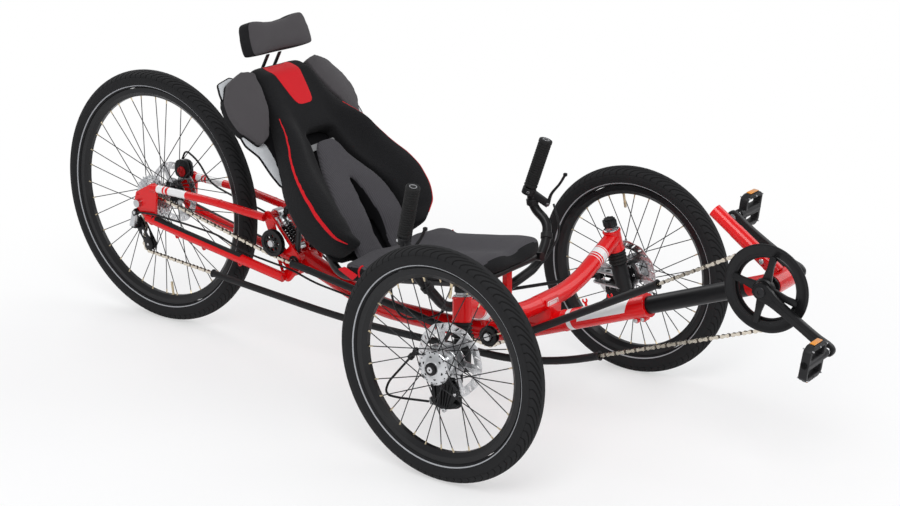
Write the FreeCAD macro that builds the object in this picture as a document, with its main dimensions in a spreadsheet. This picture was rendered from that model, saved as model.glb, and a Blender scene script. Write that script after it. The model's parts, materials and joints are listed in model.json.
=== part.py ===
import FreeCAD, Part
import Sketcher
import math
import os
import re
from FreeCAD import Placement, Rotation, Vector

# Recumbent trike: two steered wheels in front, one driven wheel behind, a reclined seat
# between them and cranks on a boom.  Millimetres; the front faces -Y, +X is the rider's
# left and +Z is up.  The origin is on the ground under the middle of the whole trike.

doc = FreeCAD.newDocument("RecumbentTrike")

# ---------------------------------------------------------------- driving sizes
# name, value, meaning
sizeTable = [
    ("Track", 760, "between the middles of the front tyres"),
    ("Wheelbase", 1175, "front axle to rear axle"),
    ("FrontBeadRadius", 203, "half the bead seat of a 20 inch wheel"),
    ("RearBeadRadius", 279.5, "half the bead seat of a 26 inch wheel"),
    ("TyreWidth", 47, "tyre, also its height above the bead"),
    ("RimWidth", 25, "outside width of each rim"),
    ("RimDepth", 19, "radial depth of each rim"),
    ("RimLip", 2.4, "rim lips above the bead seat"),
    ("SpokeThickness", 2.2, "spoke diameter"),
    ("RotorRadius", 80, "brake rotor"),
    ("RotorThickness", 1.8, "brake rotor"),
    ("AxleRadius", 10, "stub axle of a front wheel"),
    ("RunningFit", 0.08, "radial clearance of a shaft that turns"),
    ("FaceGap", 0.3, "clearance between faces that turn past each other"),
    ("KingpinInset", 85, "kingpin inboard of the tyre's middle, at the head tube"),
    ("KingpinLean", 11.5, "degrees, bottom outward"),
    ("KingpinCaster", 8, "degrees, top rearward"),
    ("HeadTubeSetback", 5.5, "head tube behind the front axle"),
    ("HeadTubeRise", 93.5, "head tube's middle above the front axle"),
    ("HeadTubeLength", 50, "along the kingpin"),
    ("HeadTubeRadius", 20, "outside"),
    ("KingpinRadius", 10, "kingpin shaft"),
    ("ArmRadius", 19.5, "cross arm tube"),
    ("JunctionSetback", -38, "where the front tube passes the cross arms"),
    ("JunctionHeight", 239.4, "front tube's axis at the junction"),
    ("JunctionHalfWidth", 30, "middle of the cross tube, where the arms are welded on"),
    ("CrossTubeRise", 28.5, "cross tube's axis above the front axle"),
    ("BoomRise", 20.5, "degrees, slope of boom and front tube"),
    ("BoomReach", 553, "crank axle ahead of the front axle"),
    ("BoomRadius", 19, "outside of the sliding boom"),
    ("BoomWall", 2, "wall of the sliding boom"),
    ("ClampReach", 262, "front end of the front tube ahead of the front axle"),
    ("SocketDepth", 105, "how deep the boom sits in the front tube"),
    ("FrameRadius", 23, "main frame tube"),
    ("FrameLow", 172, "height of the main tube under the seat"),
    ("FrameLowEnd", 470, "where the main tube turns up again, behind the front axle"),
    ("SwingarmLength", 485, "rear pivot ahead of the rear axle, measured level"),
    ("RearPivotHeight", 250, "rear pivot above the ground"),
    ("PivotRadius", 19, "rear pivot barrel"),
    ("PivotHalfWidth", 33, "rear pivot barrel"),
    ("ShellRadius", 21, "bottom bracket shell"),
    ("ShellHalfWidth", 36, "bottom bracket shell"),
    ("PostRadius", 14.3, "accessory post, 28.6 mm tube"),
    ("PostRise", 35.7, "degrees, slope of the accessory post"),
    ("PostLength", 178, "accessory post"),
    ("PostBareLength", 60, "upper stretch of the post, where a clamp goes"),
    ("CrankLength", 170, "crank axle to pedal axle"),
    ("CrankDrop", 31.5, "degrees that the right crank points below level"),
    ("CrankInset", 70, "inner face of each crank arm"),
    ("CrankThickness", 14, "crank arm"),
    ("ChainLine", 52, "chain plane from the middle plane"),
    ("RingRadius", 80.9, "pitch radius of a 40 tooth ring at half inch pitch"),
    ("GuardRadius", 90, "chain guard ring"),
    ("CogRadius", 28.4, "pitch radius of the cog in use"),
    ("ChainHeight", 8, "link plates"),
    ("ChainThickness", 7.4, "across the pins"),
    ("ChainTubeRadius", 8.5, "outside of the chain tubes"),
    ("ChainTubeBore", 6.3, "inside radius of the chain tubes"),
    ("RearIdlerSetback", 54, "rear idler behind the rear pivot"),
    ("RearIdlerHeight", 292, "rear idler above the ground"),
    ("RearIdlerRadius", 32, "pitch radius of the rear idler"),
    ("FrontIdlerSetback", 110, "front idler behind the front axle"),
    ("FrontIdlerHeight", 190, "front idler above the ground"),
    ("FrontIdlerRadius", 22, "pitch radius of the front idler"),
    ("JockeyRadius", 21, "pitch radius of the derailleur pulleys"),
    ("StayRadius", 12, "lower stays"),
    ("UpperStayRadius", 10, "upper stays"),
    ("RotorInset", 17, "rear brake rotor inboard of the left dropout"),
    ("DropoutThickness", 7, "dropout plates"),
    ("EyeletRadius", 2.6, "rack eyelets of the dropouts, for 5 mm screws"),
    ("RearHubWidth", 135, "between the dropouts"),
    ("BarPivotSetback", 150, "handlebar pivot behind the front axle"),
    ("BarPivotHeight", 254, "crossbar's axis at the pivot"),
    ("BarPlateDrop", 23, "steering plate below the crossbar's axis"),
    ("BarRadius", 11.1, "handlebar tube, 22.2 mm"),
    ("GripRadius", 16, "grips"),
    ("GripLength", 116, "grips"),
    ("SteeringArm", 65, "kingpin to the tie rod eye"),
    ("TieRodRadius", 4, "tie rods"),
    ("SeatWidth", 310, "seat base"),
    ("SeatThickness", 36, "seat base pad"),
    ("BackThickness", 52, "back pad"),
    ("BolsterDepth", 38, "how far the back pad's sides stand forward"),
    ("HeadrestWidth", 204, "headrest"),
    ("HeadrestHeight", 76, "headrest"),
    ("HeadrestDepth", 50, "headrest"),
    ("CableRadius", 2.5, "brake and gear cable housings"),
]

sheet = doc.addObject("Spreadsheet::Sheet", "Sizes")
for row, (name, amount, meaning) in enumerate(sizeTable, start=1):
    sheet.set("A%d" % row, name)
    sheet.set("B%d" % row, str(amount))
    sheet.set("C%d" % row, meaning)
    sheet.setAlias("B%d" % row, name)
doc.recompute()
sizeNames = {row[0] for row in sizeTable}


# ---------------------------------------------------------------- helpers
def onSheet(formula):
    """The formula with each size name pointed at its cell."""
    def point(word):
        return "Sizes." + word.group() if word.group() in sizeNames else word.group()
    return re.sub(r"[A-Za-z]+", point, str(formula))


def number(formula):
    """What a formula of the sheet's sizes comes to."""
    answer = sheet.evalExpression(onSheet(formula))
    return float(getattr(answer, "Value", answer))


def bind(item, **formulas):
    """Ties properties of an object to formulas of the sheet."""
    for name, formula in formulas.items():
        item.setExpression(name, onSheet(formula))
    return item


def turned(start, end):
    """Rotation that takes the Z axis to the direction from start to end."""
    return Rotation(Vector(0, 0, 1), end - start)


frontRadius = number("FrontBeadRadius + TyreWidth")
rearRadius = number("RearBeadRadius + TyreWidth")
pedalReach = 20                                        # pedal ahead of its axle
foremost = number("BoomReach + CrankLength * cos(CrankDrop)") + pedalReach
axleY = (foremost - number("Wheelbase") - rearRadius) / 2       # front axle, so Y is centred


def spot(x, y, z):
    """A point given behind the front axle, in the part's frame."""
    return Vector(x, y + axleY, z)


def cylinder(name, start, end, radius):
    """Round bar between two points; radius is a formula."""
    bar = doc.addObject("Part::Cylinder", name)
    bar.Height = (end - start).Length
    bar.Placement = Placement(start, turned(start, end))
    return bind(bar, Radius=radius)


def block(name, low, high, placement=None):
    """Box between two corners, then moved by a placement."""
    box = doc.addObject("Part::Box", name)
    box.Length, box.Width, box.Height = high.x - low.x, high.y - low.y, high.z - low.z
    box.Placement = (placement or Placement()).multiply(Placement(low, Rotation()))
    return box


def fused(name, pieces):
    """One object of several pieces."""
    if len(pieces) == 1:
        return pieces[0]
    joint = doc.addObject("Part::MultiFuse", name)
    joint.Shapes = pieces
    joint.Refine = False
    return joint


def cutAway(name, base, tools):
    """Base less its tools."""
    tool = tools[0] if len(tools) == 1 else fused(name + "_tools", tools)
    result = doc.addObject("Part::Cut", name)
    result.Base, result.Tool = base, tool
    result.Refine = False
    return result


def route(points, share=0.45):
    """Wire of straight runs joined by tangent arcs; share of the shorter run is bent."""
    edges, here = [], points[0]
    for before, corner, after in zip(points, points[1:], points[2:]):
        back, ahead = (before - corner).normalize(), (after - corner).normalize()
        half = (math.pi - back.getAngle(ahead)) / 2
        reach = share * min((before - corner).Length, (after - corner).Length)
        radius = reach / math.tan(half)
        start, end = corner + back * reach, corner + ahead * reach
        inward = (back + ahead).normalize()
        middle = corner + inward * (radius / math.cos(half) - radius)
        edges.append(Part.LineSegment(here, start).toShape())
        edges.append(Part.Arc(start, middle, end).toShape())
        here = end
    edges.append(Part.LineSegment(here, points[-1]).toShape())
    return Part.Wire(edges)


def tube(name, points, radius, share=0.45):
    """Round tube swept along a route; radius is a formula."""
    spine = doc.addObject("Part::Feature", name + "_line")
    spine.Shape = route(points, share)
    ring = doc.addObject("Part::Circle", name + "_section")
    ring.Placement = Placement(points[0], turned(points[0], points[1]))
    bind(ring, Radius=radius)
    sweep = doc.addObject("Part::Sweep", name)
    sweep.Sections = [ring]
    sweep.Spine = (spine, ["Edge%d" % (i + 1) for i in range(len(spine.Shape.Edges))])
    sweep.Solid = True
    return sweep


def plain(name, shape):
    """Sub-part whose shape is made by Part's own functions."""
    item = doc.addObject("Part::Feature", name)
    item.Shape = shape
    return item


def newBody(name, place=None):
    body = doc.addObject("PartDesign::Body", name)
    body.Placement = place or Placement()
    return body


def originPlane(body, role):
    return next(item for item in body.Origin.OriginFeatures if item.Role == role)


def outline(body, name, role, corners):
    """Closed sketch outline; each corner is a pair of formulas."""
    sketch = body.newObject("Sketcher::SketchObject", name)
    sketch.AttachmentSupport = [(originPlane(body, role), "")]
    sketch.MapMode = "FlatFace"
    points = [Vector(number(a), number(b), 0) for a, b in corners]
    count = len(points)
    for i in range(count):
        sketch.addGeometry(Part.LineSegment(points[i], points[(i + 1) % count]), False)
    for i in range(count):
        sketch.addConstraint(Sketcher.Constraint("Coincident", i, 2, (i + 1) % count, 1))
    for i, (a, b) in enumerate(corners):
        for kind, axis, formula, amount in (("DistanceX", -2, a, points[i].x),
                                            ("DistanceY", -1, b, points[i].y)):
            if abs(amount) < 1e-9:
                sketch.addConstraint(Sketcher.Constraint("PointOnObject", i, 1, axis))
                continue
            index = sketch.addConstraint(Sketcher.Constraint(kind, -1, 1, i, 1, amount))
            label = "%s%d" % (kind[-1], i)
            sketch.renameConstraint(index, label)
            sketch.setExpression("Constraints." + label, onSheet(formula))
    return sketch


def circles(body, name, role, rows):
    """Sketch of circles; each row is a centre's two formulas and a radius formula."""
    sketch = body.newObject("Sketcher::SketchObject", name)
    sketch.AttachmentSupport = [(originPlane(body, role), "")]
    sketch.MapMode = "FlatFace"
    for i, (a, b, radius) in enumerate(rows):
        centre = Vector(number(a), number(b), 0)
        sketch.addGeometry(Part.Circle(centre, Vector(0, 0, 1), number(radius)), False)
        index = sketch.addConstraint(Sketcher.Constraint("Radius", i, number(radius)))
        sketch.renameConstraint(index, "Radius%d" % i)
        sketch.setExpression("Constraints.Radius%d" % i, onSheet(radius))
        for kind, axis, formula, amount in (("DistanceX", -2, a, centre.x),
                                            ("DistanceY", -1, b, centre.y)):
            if abs(amount) < 1e-9:
                sketch.addConstraint(Sketcher.Constraint("PointOnObject", i, 3, axis))
                continue
            index = sketch.addConstraint(Sketcher.Constraint(kind, -1, 1, i, 3, amount))
            label = "%s%d" % (kind[-1], i)
            sketch.renameConstraint(index, label)
            sketch.setExpression("Constraints." + label, onSheet(formula))
    return sketch


def revolved(body, name, corners):
    """Solid turned about the X axis from corners (along X, radius)."""
    turn = body.newObject("PartDesign::Revolution", name)
    turn.Profile = outline(body, name + "_outline", "XZ_Plane", corners)
    turn.ReferenceAxis = (turn.Profile[0], ["H_Axis"])
    turn.Angle = 360
    return turn


def raised(body, kind, sketch, name, length):
    """Pad or Pocket both ways from its sketch; length is a formula of its full depth."""
    feature = body.newObject("PartDesign::" + kind, name)
    feature.Profile = sketch
    feature.Midplane = True
    return bind(feature, Length=length)


def around(body, feature, name, count):
    """Repeats a feature about the body's X axis."""
    pattern = body.newObject("PartDesign::PolarPattern", name)
    pattern.Originals = [feature]
    pattern.Axis = (originPlane(body, "X_Axis"), [""])
    pattern.Angle = 360
    pattern.Occurrences = count
    body.Tip = pattern
    return pattern


subParts = {}


def keep(node, item):
    """Takes an object as the sub-part of that name."""
    item.Label = node
    subParts[node] = item
    return item


def strap(body, name, role, rows):
    """Sketch of the band round some circles; rows of centre and radius formulas, anticlockwise."""
    sketch = body.newObject("Sketcher::SketchObject", name)
    sketch.AttachmentSupport = [(originPlane(body, role), "")]
    sketch.MapMode = "FlatFace"
    rounds = [(Vector(number(a), number(b), 0), number(radius)) for a, b, radius in rows]
    count = len(rounds)
    normals = []
    for i, (centre, radius) in enumerate(rounds):
        nextCentre, nextRadius = rounds[(i + 1) % count]
        away = nextCentre - centre
        along = (radius - nextRadius) / away.Length
        away.normalize()
        side = Vector(away.y, -away.x, 0)
        normals.append(away * along + side * math.sqrt(1 - along * along))
    for i, (centre, radius) in enumerate(rounds):
        first, last = normals[i - 1], normals[i]
        begin = math.atan2(first.y, first.x)
        turn = (math.atan2(last.y, last.x) - begin) % (2 * math.pi)
        circle = Part.Circle(centre, Vector(0, 0, 1), radius)
        sketch.addGeometry(Part.ArcOfCircle(circle, begin, begin + turn), False)
    for i, (centre, radius) in enumerate(rounds):
        nextCentre, nextRadius = rounds[(i + 1) % count]
        start, end = centre + normals[i] * radius, nextCentre + normals[i] * nextRadius
        sketch.addGeometry(Part.LineSegment(start, end), False)
    for i, (a, b, radius) in enumerate(rows):
        index = sketch.addConstraint(Sketcher.Constraint("Radius", i, rounds[i][1]))
        sketch.renameConstraint(index, "Radius%d" % i)
        sketch.setExpression("Constraints.Radius%d" % i, onSheet(radius))
        for kind, axis, formula, amount in (("DistanceX", -2, a, rounds[i][0].x),
                                            ("DistanceY", -1, b, rounds[i][0].y)):
            if abs(amount) < 1e-9:
                sketch.addConstraint(Sketcher.Constraint("PointOnObject", i, 3, axis))
                continue
            index = sketch.addConstraint(Sketcher.Constraint(kind, -1, 1, i, 3, amount))
            label = "%s%d" % (kind[-1], i)
            sketch.renameConstraint(index, label)
            sketch.setExpression("Constraints." + label, onSheet(formula))
    for i in range(count):
        line, after = count + i, (i + 1) % count
        sketch.addConstraint(Sketcher.Constraint("Tangent", i, 2, line, 1))
        sketch.addConstraint(Sketcher.Constraint("Tangent", line, 2, after, 1))
    return sketch


def belt(rows, shift=0):
    """Straight runs and arcs of a loop round pulleys in the YZ plane.

    rows: (y, z, radius, turn), turn +1 anticlockwise seen with Y to the right, -1 clockwise.
    shift moves the loop to the left of its own direction.
    """
    count, runs = len(rows), []
    for i in range(count):
        y1, z1, r1, s1 = rows[i]
        y2, z2, r2, s2 = rows[(i + 1) % count]
        r1, r2 = s1 * (r1 - s1 * shift), s2 * (r2 - s2 * shift)
        away, lean = math.atan2(z2 - z1, y2 - y1), r2 - r1
        length = math.sqrt((y2 - y1) ** 2 + (z2 - z1) ** 2 - lean ** 2)
        angle = away - math.atan2(lean, length)
        left = (-math.sin(angle), math.cos(angle))
        runs.append(((y1 - r1 * left[0], z1 - r1 * left[1]),
                     (y2 - r2 * left[0], z2 - r2 * left[1])))
    arcs = []
    for i in range(count):
        y, z, radius, turn = rows[i]
        start, end = runs[i - 1][1], runs[i][0]
        first = math.atan2(start[1] - z, start[0] - y)
        sweep = (turn * (math.atan2(end[1] - z, end[0] - y) - first)) % (2 * math.pi)
        middle, size = first + turn * sweep / 2, radius - turn * shift
        arcs.append((start, (y + size * math.cos(middle), z + size * math.sin(middle)), end))
    return runs, arcs


def inPlane(x, point):
    return Vector(x, point[0] + axleY, point[1])


def beltWire(x, rows, shift):
    runs, arcs = belt(rows, shift)
    edges = []
    for arc, run in zip(arcs, runs):
        edges.append(Part.Arc(*[inPlane(x, point) for point in arc]).toShape())
        edges.append(Part.LineSegment(inPlane(x, run[0]), inPlane(x, run[1])).toShape())
    return Part.Wire(edges)


# ---------------------------------------------------------------- skeleton
frontAxleHeight, rearAxleHeight = frontRadius, rearRadius
halfTrack = number("Track / 2")
lean, caster = number("tan(KingpinLean)"), number("tan(KingpinCaster)")
slope = number("tan(BoomRise)")
crankAxleHeight = number("JunctionHeight") + slope * number("BoomReach + JunctionSetback")
crankAxle = spot(0, -number("BoomReach"), crankAxleHeight)
clampEnd = number("ClampReach")
rearPivotSetback = number("Wheelbase - SwingarmLength")
rearIdlerSetback = rearPivotSetback + number("RearIdlerSetback")
rearPivot = spot(0, rearPivotSetback, number("RearPivotHeight"))
rearAxle = spot(0, number("Wheelbase"), rearAxleHeight)
shockFoot = rearPivot + Vector(0, 13, 27)
shockHead = rearPivot + Vector(0, 81, 100)       # the yoke's upper brace
chainX = -number("ChainLine")
rearRotorOffset = "RearHubWidth / 2 - RotorInset"           # as a sheet formula
rotorFromTyre = 35.2            # front rotor inboard of its tyre's middle
slotHalf = 1.8                  # half the slot that a rotor runs in


def onBoom(setback):
    """Point of the boom's axis at that distance behind the front axle."""
    return spot(0, setback, number("JunctionHeight") - slope * (setback - number("JunctionSetback")))


def onKingpin(side, rise):
    """Point of a kingpin's axis, rise above the head tube's middle."""
    x = side * (halfTrack - number("KingpinInset") - rise * lean)
    height = frontAxleHeight + number("HeadTubeRise") + rise
    return spot(x, number("HeadTubeSetback") + rise * caster, height)


def kingpinUp(side):
    """Direction of a kingpin's axis, upward."""
    return (onKingpin(side, 1) - onKingpin(side, 0)).normalize()


def eyeOf(side):
    """Tie rod eye behind a kingpin."""
    return onKingpin(side, -number("HeadTubeRise") - 8) + Vector(0, number("SteeringArm"), 0)


def beside(name, side, low, high):
    """Box on the left or right; corners give distance from the middle, behind and above a front axle."""
    near, far = sorted((side * low[0], side * high[0]))
    return block(name, spot(near, low[1], frontAxleHeight + low[2]),
                 spot(far, high[1], frontAxleHeight + high[2]))


# ---------------------------------------------------------------- main frame
def backbonePoints():
    """Main tube: down from the clamp, level under the seat and up to the rear pivot."""
    low = number("FrameLow")
    lowStart = number("JunctionSetback") + (number("JunctionHeight") - low) / slope
    return [onBoom(-clampEnd), spot(0, lowStart, low), spot(0, number("FrameLowEnd"), low), rearPivot]


def makeMainFrame():
    low = number("FrameLow")
    backbone = tube("backbone", backbonePoints(), "FrameRadius", share=0.3)
    halfWidth = number("JunctionHalfWidth")
    crossHeight = frontAxleHeight + number("CrossTubeRise")
    crossTube = cylinder("cross_tube", spot(-halfWidth, 0, crossHeight), spot(halfWidth, 0, crossHeight),
                         "ArmRadius + 0.6")
    gusset = block("gusset", spot(-21, -30, crossHeight - 46), spot(21, 27, crossHeight - 2))
    boss = newBody("badge_boss", Placement(spot(0, -14, crossHeight), Rotation()))
    raised(boss, "Pad", outline(boss, "badge_boss_outline", "XZ_Plane", [
        (-25, 12), (-25, -6), (-15, -17), (15, -17), (25, -6), (25, 12)]), "badge_boss_pad", "16")
    clampRing = cylinder("clamp_ring", onBoom(-clampEnd), onBoom(-clampEnd + 34), "FrameRadius + 2")
    lugs = []
    for step in (9, 25):
        middle = onBoom(-clampEnd + step) - Vector(0, 0, number("FrameRadius") + 5)
        lugs.append(cylinder("clamp_lug", middle - Vector(9, 0, 0), middle + Vector(9, 0, 0), "6"))
    barrel = cylinder("pivot_barrel", rearPivot - Vector(number("PivotHalfWidth"), 0, 0),
                      rearPivot + Vector(number("PivotHalfWidth"), 0, 0), "PivotRadius")
    post = cylinder("steering_post", spot(0, number("BarPivotSetback"), low),
                    spot(0, number("BarPivotSetback"), number("BarPivotHeight") - 32), "17")
    pin = cylinder("steering_pin", spot(0, number("BarPivotSetback"), low),
                   spot(0, number("BarPivotSetback"), number("BarPivotHeight") + 18), "8")
    seatMount = block("seat_mount", spot(-10, 92, 196), spot(10, 104, 330))      # holds the seat's front
    clevis = [cylinder("shock_bolt", shockFoot - Vector(17, 0, 0), shockFoot + Vector(17, 0, 0), "4")]
    for side in (1, -1):
        lug = newBody("shock_lug", Placement(spot(side * 14, 0, 0), Rotation()))
        raised(lug, "Pad", strap(lug, "shock_lug_outline", "YZ_Plane", [
            ("Wheelbase - SwingarmLength", "RearPivotHeight", "PivotRadius - 3"),
            ("Wheelbase - SwingarmLength + 13", "RearPivotHeight + 27", "10")]), "shock_lug_pad", "5")
        clevis.append(lug)
    whole = fused("frame_whole", [
        backbone, crossTube, gusset, boss, clampRing, *lugs, barrel, post, pin, seatMount, *clevis])
    socket = cylinder("boom_socket", onBoom(-clampEnd - 5), onBoom(-clampEnd + number("SocketDepth")),
                      "BoomRadius + RunningFit")
    pivotBore = cylinder("pivot_bore", rearPivot - Vector(60, 0, 0), rearPivot + Vector(60, 0, 0), "6.1")
    keep("main_frame", cutAway("main_frame", whole, [socket, pivotBore]))


def makeCrossArm(side, name):
    """Arm from the junction up to its head tube."""
    half = number("HeadTubeLength / 2")
    crossHeight = frontAxleHeight + number("CrossTubeRise")
    start = spot(side * number("JunctionHalfWidth - 3"), 0, crossHeight)
    bend = spot(side * 118, 0, crossHeight + 1)
    end = onKingpin(side, 5)
    arm = tube(name + "_tube", [start, bend, end], "ArmRadius", share=0.8)
    head = cylinder(name + "_head", onKingpin(side, -half), onKingpin(side, half), "HeadTubeRadius")
    bore = cylinder(name + "_bore", onKingpin(side, -half - 30), onKingpin(side, half + 30),
                    "KingpinRadius + RunningFit")
    keep(name, cutAway(name, fused(name + "_whole", [arm, head]), [bore, subParts["main_frame"]]))


def makeBoom():
    """Sliding boom tube, bottom bracket shell and accessory post."""
    inner = onBoom(-clampEnd + number("SocketDepth") - 1)
    meet = crankAxle + (inner - crankAxle).normalize() * number("ShellRadius - 2")
    outer = cylinder("boom_outside", inner, meet, "BoomRadius")
    hollow = cylinder("boom_hollow", inner, meet, "BoomRadius - BoomWall")
    shellTool = cylinder("boom_shell_space", crankAxle - Vector(60, 0, 0), crankAxle + Vector(60, 0, 0),
                         "ShellRadius")
    keep("boom", cutAway("boom", outer, [hollow, shellTool]))
    half = Vector(number("ShellHalfWidth"), 0, 0)
    shell = cylinder("shell_outside", crankAxle - half, crankAxle + half, "ShellRadius")
    rise = number("PostRise")
    along = Vector(0, math.cos(math.radians(rise)), math.sin(math.radians(rise)))
    foot = crankAxle + Vector(0, 4, 17)
    bareFrom = number("PostLength - PostBareLength")
    post = cylinder("post_tube", foot, foot + along * number("PostLength"), "PostRadius")
    thickened = cylinder("post_lower", foot, foot + along * bareFrom, "PostRadius + 0.7")
    whole = fused("bottom_bracket_whole", [shell, post, thickened])
    axleBore = cylinder("axle_bore", crankAxle - half * 2, crankAxle + half * 2, "12 + RunningFit")
    postBore = cylinder("post_bore", foot + along * (number("PostLength") - 40),
                        foot + along * (number("PostLength") + 5), "PostRadius - 2")
    keep("accessory_post", cutAway("accessory_post", whole, [axleBore, postBore]))


# ---------------------------------------------------------------- swingarm
def upperStayPoints(side):
    start = side * number("PivotHalfWidth + FaceGap + 6 + UpperStayRadius")
    end = side * number("RearHubWidth / 2 + DropoutThickness / 2")
    return [Vector(start, shockHead.y, shockHead.z), rearAxle + Vector(end - side * 8, -240, 42),
            rearAxle + Vector(end, -46, 46)]


def makeSwingarm():
    pivotY, pivotZ = rearPivotSetback, number("RearPivotHeight")
    plateX, plateThick = number("PivotHalfWidth + FaceGap"), 6
    lowerFront = (pivotY + 25, pivotZ - 40)
    upperFront = (shockHead.y - axleY, shockHead.z)
    yoke = []
    for side in (1, -1):
        middle = side * (plateX + plateThick / 2)
        plate = newBody("yoke_plate", Placement(spot(middle, 0, 0), Rotation()))
        sketch = strap(plate, "yoke_outline", "YZ_Plane", [
            (pivotY, pivotZ, "PivotRadius + 4"), (lowerFront[0], lowerFront[1], "14"),
            (upperFront[0], upperFront[1], "13")])
        raised(plate, "Pad", sketch, "yoke_pad", plateThick)
        yoke.append(plate)
    braceEnd = plateX + 1
    brace = cylinder("yoke_brace", spot(-braceEnd, *upperFront), spot(braceEnd, *upperFront), "9")
    lowBrace = cylinder("yoke_low_brace", spot(-braceEnd, *lowerFront), spot(braceEnd, *lowerFront), "7")
    bolt = cylinder("pivot_bolt", rearPivot - Vector(plateX + 8, 0, 0),
                    rearPivot + Vector(plateX + 8, 0, 0), "6")
    keep("swingarm_yoke", fused("swingarm_yoke", [*yoke, brace, lowBrace, bolt]))

    outer = plateX + plateThick
    stays = {"lower": [], "upper": []}
    dropoutX = number("RearHubWidth / 2 + DropoutThickness / 2")
    for side in (1, -1):
        lowerStart = side * (outer + number("StayRadius"))
        stays["lower"].append(tube("lower_stay", [
            spot(lowerStart, *lowerFront), rearAxle + Vector(side * (dropoutX - 4), -140, -58),
            rearAxle + Vector(side * dropoutX, -26, -35)], "StayRadius", share=0.2))
        stays["upper"].append(tube("upper_stay", upperStayPoints(side), "UpperStayRadius", share=0.4))
    plates = []
    for side in (1, -1):
        middle = side * number("RearHubWidth / 2 + DropoutThickness / 2")
        plate = newBody("dropout", Placement(rearAxle + Vector(middle, 0, 0), Rotation()))
        sketch = strap(plate, "dropout_outline", "YZ_Plane", [
            (0, 0, "17"), (2, 22, "8"), (-52, 46, "12"), (-40, -38, "14")])
        raised(plate, "Pad", sketch, "dropout_pad", "DropoutThickness")
        bore = raised(plate, "Pocket", circles(plate, "axle_hole", "YZ_Plane", [
            ("0", "0", "6.1"), ("2", "22", "EyeletRadius")]),
                      "axle_bore", "DropoutThickness * 2")
        plate.Tip = bore
        plates.append(plate)
    dropouts = keep("dropouts", fused("dropouts", plates))
    keep("stays", cutAway("stays", fused("stays_whole", stays["lower"] + stays["upper"]), [dropouts]))
    reach = number("RearHubWidth / 2 + DropoutThickness")
    axle = cylinder("axle_rod", rearAxle - Vector(reach + 9, 0, 0), rearAxle + Vector(reach + 9, 0, 0), "6")
    nuts = [cylinder("axle_nut", rearAxle + Vector(side * (reach + 0.2), 0, 0),
                     rearAxle + Vector(side * (reach + 10), 0, 0), "10") for side in (1, -1)]
    keep("rear_axle", fused("rear_axle", [axle, *nuts]))


def makeShock():
    """Coil over its damper between the pivot's clevis and the yoke's upper brace."""
    along = (shockHead - shockFoot).normalize()
    length = (shockHead - shockFoot).Length
    across = Vector(11.2, 0, 0)

    def stage(name, low, high, radius):
        return cylinder(name, shockFoot + along * length * low, shockFoot + along * length * high, radius)

    pieces = [stage("damper", 0.02, 0.9, "8"), stage("coil_space", 0.18, 0.64, "17"),
              stage("damper_top", 0.66, 0.88, "14"),
              cylinder("lower_eye", shockFoot - across, shockFoot + across, "9.5"),
              cylinder("upper_eye", shockHead - across, shockHead + across, "13")]
    neck = shockFoot + along * length * 0.76
    pieces.append(cylinder("damper_knob", neck, neck + Vector(0, -14, 36), "8"))
    bores = [cylinder("lower_eye_bore", shockFoot - across * 2, shockFoot + across * 2, "4 + FaceGap"),
             cylinder("upper_eye_bore", shockHead - across * 2, shockHead + across * 2, "9 + FaceGap")]
    keep("shock_absorber", cutAway("shock_absorber", fused("shock_whole", pieces), bores))


# ---------------------------------------------------------------- wheels
def makeTyre(name, place, bead):
    """Hollow casing, open towards the rim."""
    body = newBody(name, place)
    sketch = body.newObject("Sketcher::SketchObject", name + "_section")
    sketch.AttachmentSupport = [(originPlane(body, "XZ_Plane"), "")]
    sketch.MapMode = "FlatFace"
    height, outside = number(bead + " + TyreWidth / 2"), number("TyreWidth / 2")
    wall = 4.5
    opening = math.acos(1 - number("RimLip + FaceGap") / outside)
    centre = Vector(0, height, 0)
    begin, end = -math.pi / 2 + opening, 3 * math.pi / 2 - opening
    for radius in (outside, outside - wall):
        circle = Part.Circle(centre, Vector(0, 0, 1), radius)
        sketch.addGeometry(Part.ArcOfCircle(circle, begin, end), False)
    for angle in (begin, end):
        ray = Vector(math.cos(angle), math.sin(angle), 0)
        sketch.addGeometry(Part.LineSegment(centre + ray * outside, centre + ray * (outside - wall)), False)
    for arcEnd, line in ((1, 2), (2, 3)):
        sketch.addConstraint(Sketcher.Constraint("Coincident", 0, arcEnd, line, 1))
        sketch.addConstraint(Sketcher.Constraint("Coincident", 1, arcEnd, line, 2))
    sketch.addConstraint(Sketcher.Constraint("Coincident", 0, 3, 1, 3))
    sketch.addConstraint(Sketcher.Constraint("PointOnObject", 0, 3, -2))
    for kind, args, label, formula in (
            ("DistanceY", (-1, 1, 0, 3, height), "Height", bead + " + TyreWidth / 2"),
            ("Radius", (0, outside), "Outside", "TyreWidth / 2"),
            ("Radius", (1, outside - wall), "Inside", "TyreWidth / 2 - %s" % wall)):
        index = sketch.addConstraint(Sketcher.Constraint(kind, *args))
        sketch.renameConstraint(index, label)
        sketch.setExpression("Constraints." + label, onSheet(formula))
    turn = body.newObject("PartDesign::Revolution", name + "_casing")
    turn.Profile = sketch
    turn.ReferenceAxis = (sketch, ["H_Axis"])
    turn.Angle = 360
    keep(name, body)


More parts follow.
